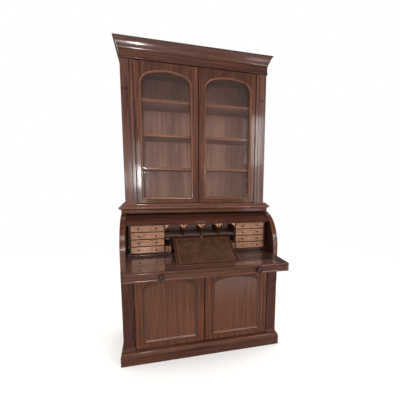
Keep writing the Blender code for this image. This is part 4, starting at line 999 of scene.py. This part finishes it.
# Nest of drawers and pigeonholes
HOLE_FLOOR, HOLE_TOP = 0.9056, 0.9904
HOLES, HOLES_HALF, DIVIDER = 4, 0.2705, 0.006
BRACKET = milli((0, 0.6), (0, -27), (2, -27), (11, -15), (25, -5.6), (25, 0.6))
front = NEST_Y - ROOM_Y
for node in ("nest_case_left", "nest_case_right", "pigeonholes"):
    holes = node == "pigeonholes"
    blank = Blank()
    for face in blank.copy_of(node, NEST["Y"]):
        middle = middle_of(face)
        faces_us = face.normal.y < -0.9
        # The nest's fronts take the darker mahogany: painted shade under the fall
        if faces_us and middle.y < front + 0.0003:
            face.material_index = blank.number(HOLE if holes and middle.z < HOLE_FLOOR else DUSKY["X"])
        # The pigeonholes' backs take the lighter board: painted light in the fall's shadow
        elif faces_us and not (holes and middle.y < front + 0.0055):
            face.material_index = blank.number(HOLE_BACK)
        elif holes and face.normal.z > 0.9:
            face.material_index = blank.number(HOLE)
    if holes:
        # Straight-cut brackets over the openings' corners, in a lighter satinwood that paints light into the fall's
        # shadow
        width = (2 * HOLES_HALF - (HOLES - 1) * DIVIDER) / HOLES
        for i in range(HOLES):
            left = -HOLES_HALF + i * (width + DIVIDER)
            for corner, side in ((left, 1), (left + width, -1)):
                points = [(corner + side * out, HOLE_TOP + up) for out, up in BRACKET]
                blank.ease(blank.prism("Y", front + 0.0006, front + 0.005, points, BRACKET_WOOD), 0.0003)
    blank.fit(node + "_boards", "carcase", (node,), None)

tiny_knob = milli(
    (0, 3.4), (4, 3.4), (5.6, 4.2), (7.2, 5.7), (9.2, 6.5), (11.2, 6.2), (12.8, 4.8), (13.7, 2.6), (14, 0.5))
blank = Blank()
blank.turned(tiny_knob, (0, 0, 0), (0, -1, 0), ROSEWOOD, 16)
knob = blank.lift("drawer_knob")
PLAY, JOINT = 0.0005, 0.0001
WALL, FACE_THICK, BOTTOM, LONG = 0.007, 0.012, 0.005, 0.225
KNOB_SPREAD = 0.062
DRAWER_FLOOR, DRAWER_PITCH, RAIL_THICK, PEN_TOP = 0.785, 0.0531, 0.006, 0.828
DRAWER_X, PEN_X = (0.2815, 0.5175), (0.2315, 0.2715)


def small_drawer(name, x, z, knobs):
    x, z = (x[0] + PLAY, x[1] - PLAY), (z[0] + PLAY, z[1] - PLAY)
    face, rear = NEST_Y + FACE_THICK, NEST_Y + LONG
    within = (x[0] + WALL + JOINT, x[1] - WALL - JOINT)
    blank = Blank()
    blank.board(x, (NEST_Y + 0.0002, face), z, SATINWOOD, 0.0007, LINING)
    for wall in ((x[0], x[0] + WALL), (x[1] - WALL, x[1])):
        blank.board(wall, (face + JOINT, rear), z, LINING, 0.0005)
    blank.board(within, (rear - WALL, rear), z, LINING, 0.0005)
    blank.board(within, (face + JOINT, rear - WALL - JOINT), (z[0], z[0] + BOTTOM), LINING, 0.0003)
    spread = KNOB_SPREAD if knobs == 2 else 0.0
    row = laid_row(KNOB_ROW, Count=knobs, First=(sum(x) / 2 - spread, NEST_Y + 0.0004, sum(z) / 2),
                   Step=(2 * spread, 0.0, 0.0), Finish=ROSEWOOD, Knob=knob)
    before = set(blank.mesh.faces)
    blank.mesh.from_mesh(row)
    blank.coat([f for f in blank.mesh.faces if f not in before], ROSEWOOD)
    blank.fit(name + "_box", name + "_body", (name,), slot="satinwood")


for end, side in ENDS:
    for i, level in enumerate(("first", "second", "third", "fourth")):
        height = DRAWER_FLOOR + i * DRAWER_PITCH
        small_drawer("drawer_%s_%s" % (end, level), signed(side, DRAWER_X),
                     (height, height + DRAWER_PITCH - RAIL_THICK), 2)
    small_drawer("pen_drawer_" + end, signed(side, PEN_X), (DRAWER_FLOOR, PEN_TOP), 1)
bpy.data.objects.remove(knob)

# Studio
bpy.ops.mesh.primitive_plane_add(size=7.4, location=(0, 0, 0))
floor = bpy.context.object
floor.name = "floor"
floor.data.materials.append(PALE_FLOOR)

scene = bpy.context.scene
scene.view_settings.view_transform = "Standard"
scene.view_settings.look = "None"
world = bpy.data.worlds.new("studio")
scene.world = world
world.use_nodes = True
sky = world.node_tree.nodes["Background"]
sky.inputs["Color"].default_value = (1.0, 1.0, 1.0, 1.0)
# The dome is brighter overhead, and a plain white to the eye
dome = Stain(world.node_tree)
aloft = dome.place("Generated").part("Z")
seen = dome.add("ShaderNodeLightPath", out="Is Camera Ray")
mirrored = dome.add("ShaderNodeLightPath", out="Is Glossy Ray")
glow = (0.2 + dome.sum("MAXIMUM", aloft, 0.0) * 0.78) * (1 - mirrored * 0.75)
world.node_tree.links.new((seen + glow * (1 - seen)).socket, sky.inputs["Strength"])

# Each light's place, the point that it looks at, its width and height, and its power
for name, place, aim, size, power in (
        ("left_softbox", (-2.9, -3.9, 2.3), (0, 0, 1.15), (2, 2.4), 42),
        ("right_softbox", (3.3, -3.4, 2.2), (0, 0, 1.15), (2, 2.4), 15),
        ("high_softbox", (-0.2, -4.2, 4.8), (0, 0, 1.3), (2.4, 1.4), 90),
        ("front_veil", (0.6, -3.6, 2.05), (0.1, 0, 1.6), (2.6, 2.3), 9),
        ("low_strip", (0.5, -3.3, 0.42), (0.1, 0, 1.2), (4.2, 0.34), 8),
        ("back_softbox", (0, 6.5, 6), (0, 3.5, 0), (9, 5), 200),
        ("left_side_softbox", (-4.6, 1.2, 2.6), (0, 0.4, 1), (2.4, 2.4), 70),
        ("right_side_softbox", (4.6, 1.2, 2.6), (0, 0.4, 1), (2.4, 2.4), 70),
        ("right_glint", (2.36, -3.5, 2.9), (0.56, 0, 0.95), (0.3, 0.5), 9),
        ("left_glint", (-0.9, -3.5, 1.32), (-0.56, 0, 0.87), (0.1, 0.25), 3.5),
        ("left_strip", (-0.55, -3.54, 1.4), (-0.43, 0, 1.35), (0.13, 0.4), 38),
        ("left_tall_strip", (-0.55, -3.54, 1.42), (-0.43, 0, 1.36), (0.13, 1.3), 15),
        ("right_strip", (1.8, -3.54, 2.18), (0.45, 0, 1.6), (0.36, 1), 40),
        ("right_low_strip", (1.8, -3.54, 1.1), (0.45, 0, 1.25), (0.36, 1.1), 13)):
    lamp = bpy.data.lights.new(name, "AREA")
    lamp.shape = "RECTANGLE"
    lamp.size, lamp.size_y = size
    lamp.energy = power
    lamp.color = (1.0, 0.97, 0.94)
    holder = placed(name, lamp)
    holder.location = place
    holder.rotation_euler = (Vector(aim) - Vector(place)).to_track_quat("-Z", "Y").to_euler()

# Camera, set from the photograph's perspective
EYE = (-0.3654, -2.1165, 1.3148)
YAW, PITCH, ROLL = 0.2744, -0.1433, 0.011
eye = bpy.data.cameras.new("camera")
eye.sensor_width = 36.0
eye.lens = 25.2
eye.shift_x = -0.075
eye.shift_y = 0.056
camera = placed("camera", eye)
camera.matrix_world = Matrix.Translation(EYE)
for angle, axis in ((-YAW, "Z"), (math.pi / 2 + PITCH, "X"), (ROLL, "Z")):
    camera.matrix_world = camera.matrix_world @ Matrix.Rotation(angle, 4, axis)
scene.camera = camera
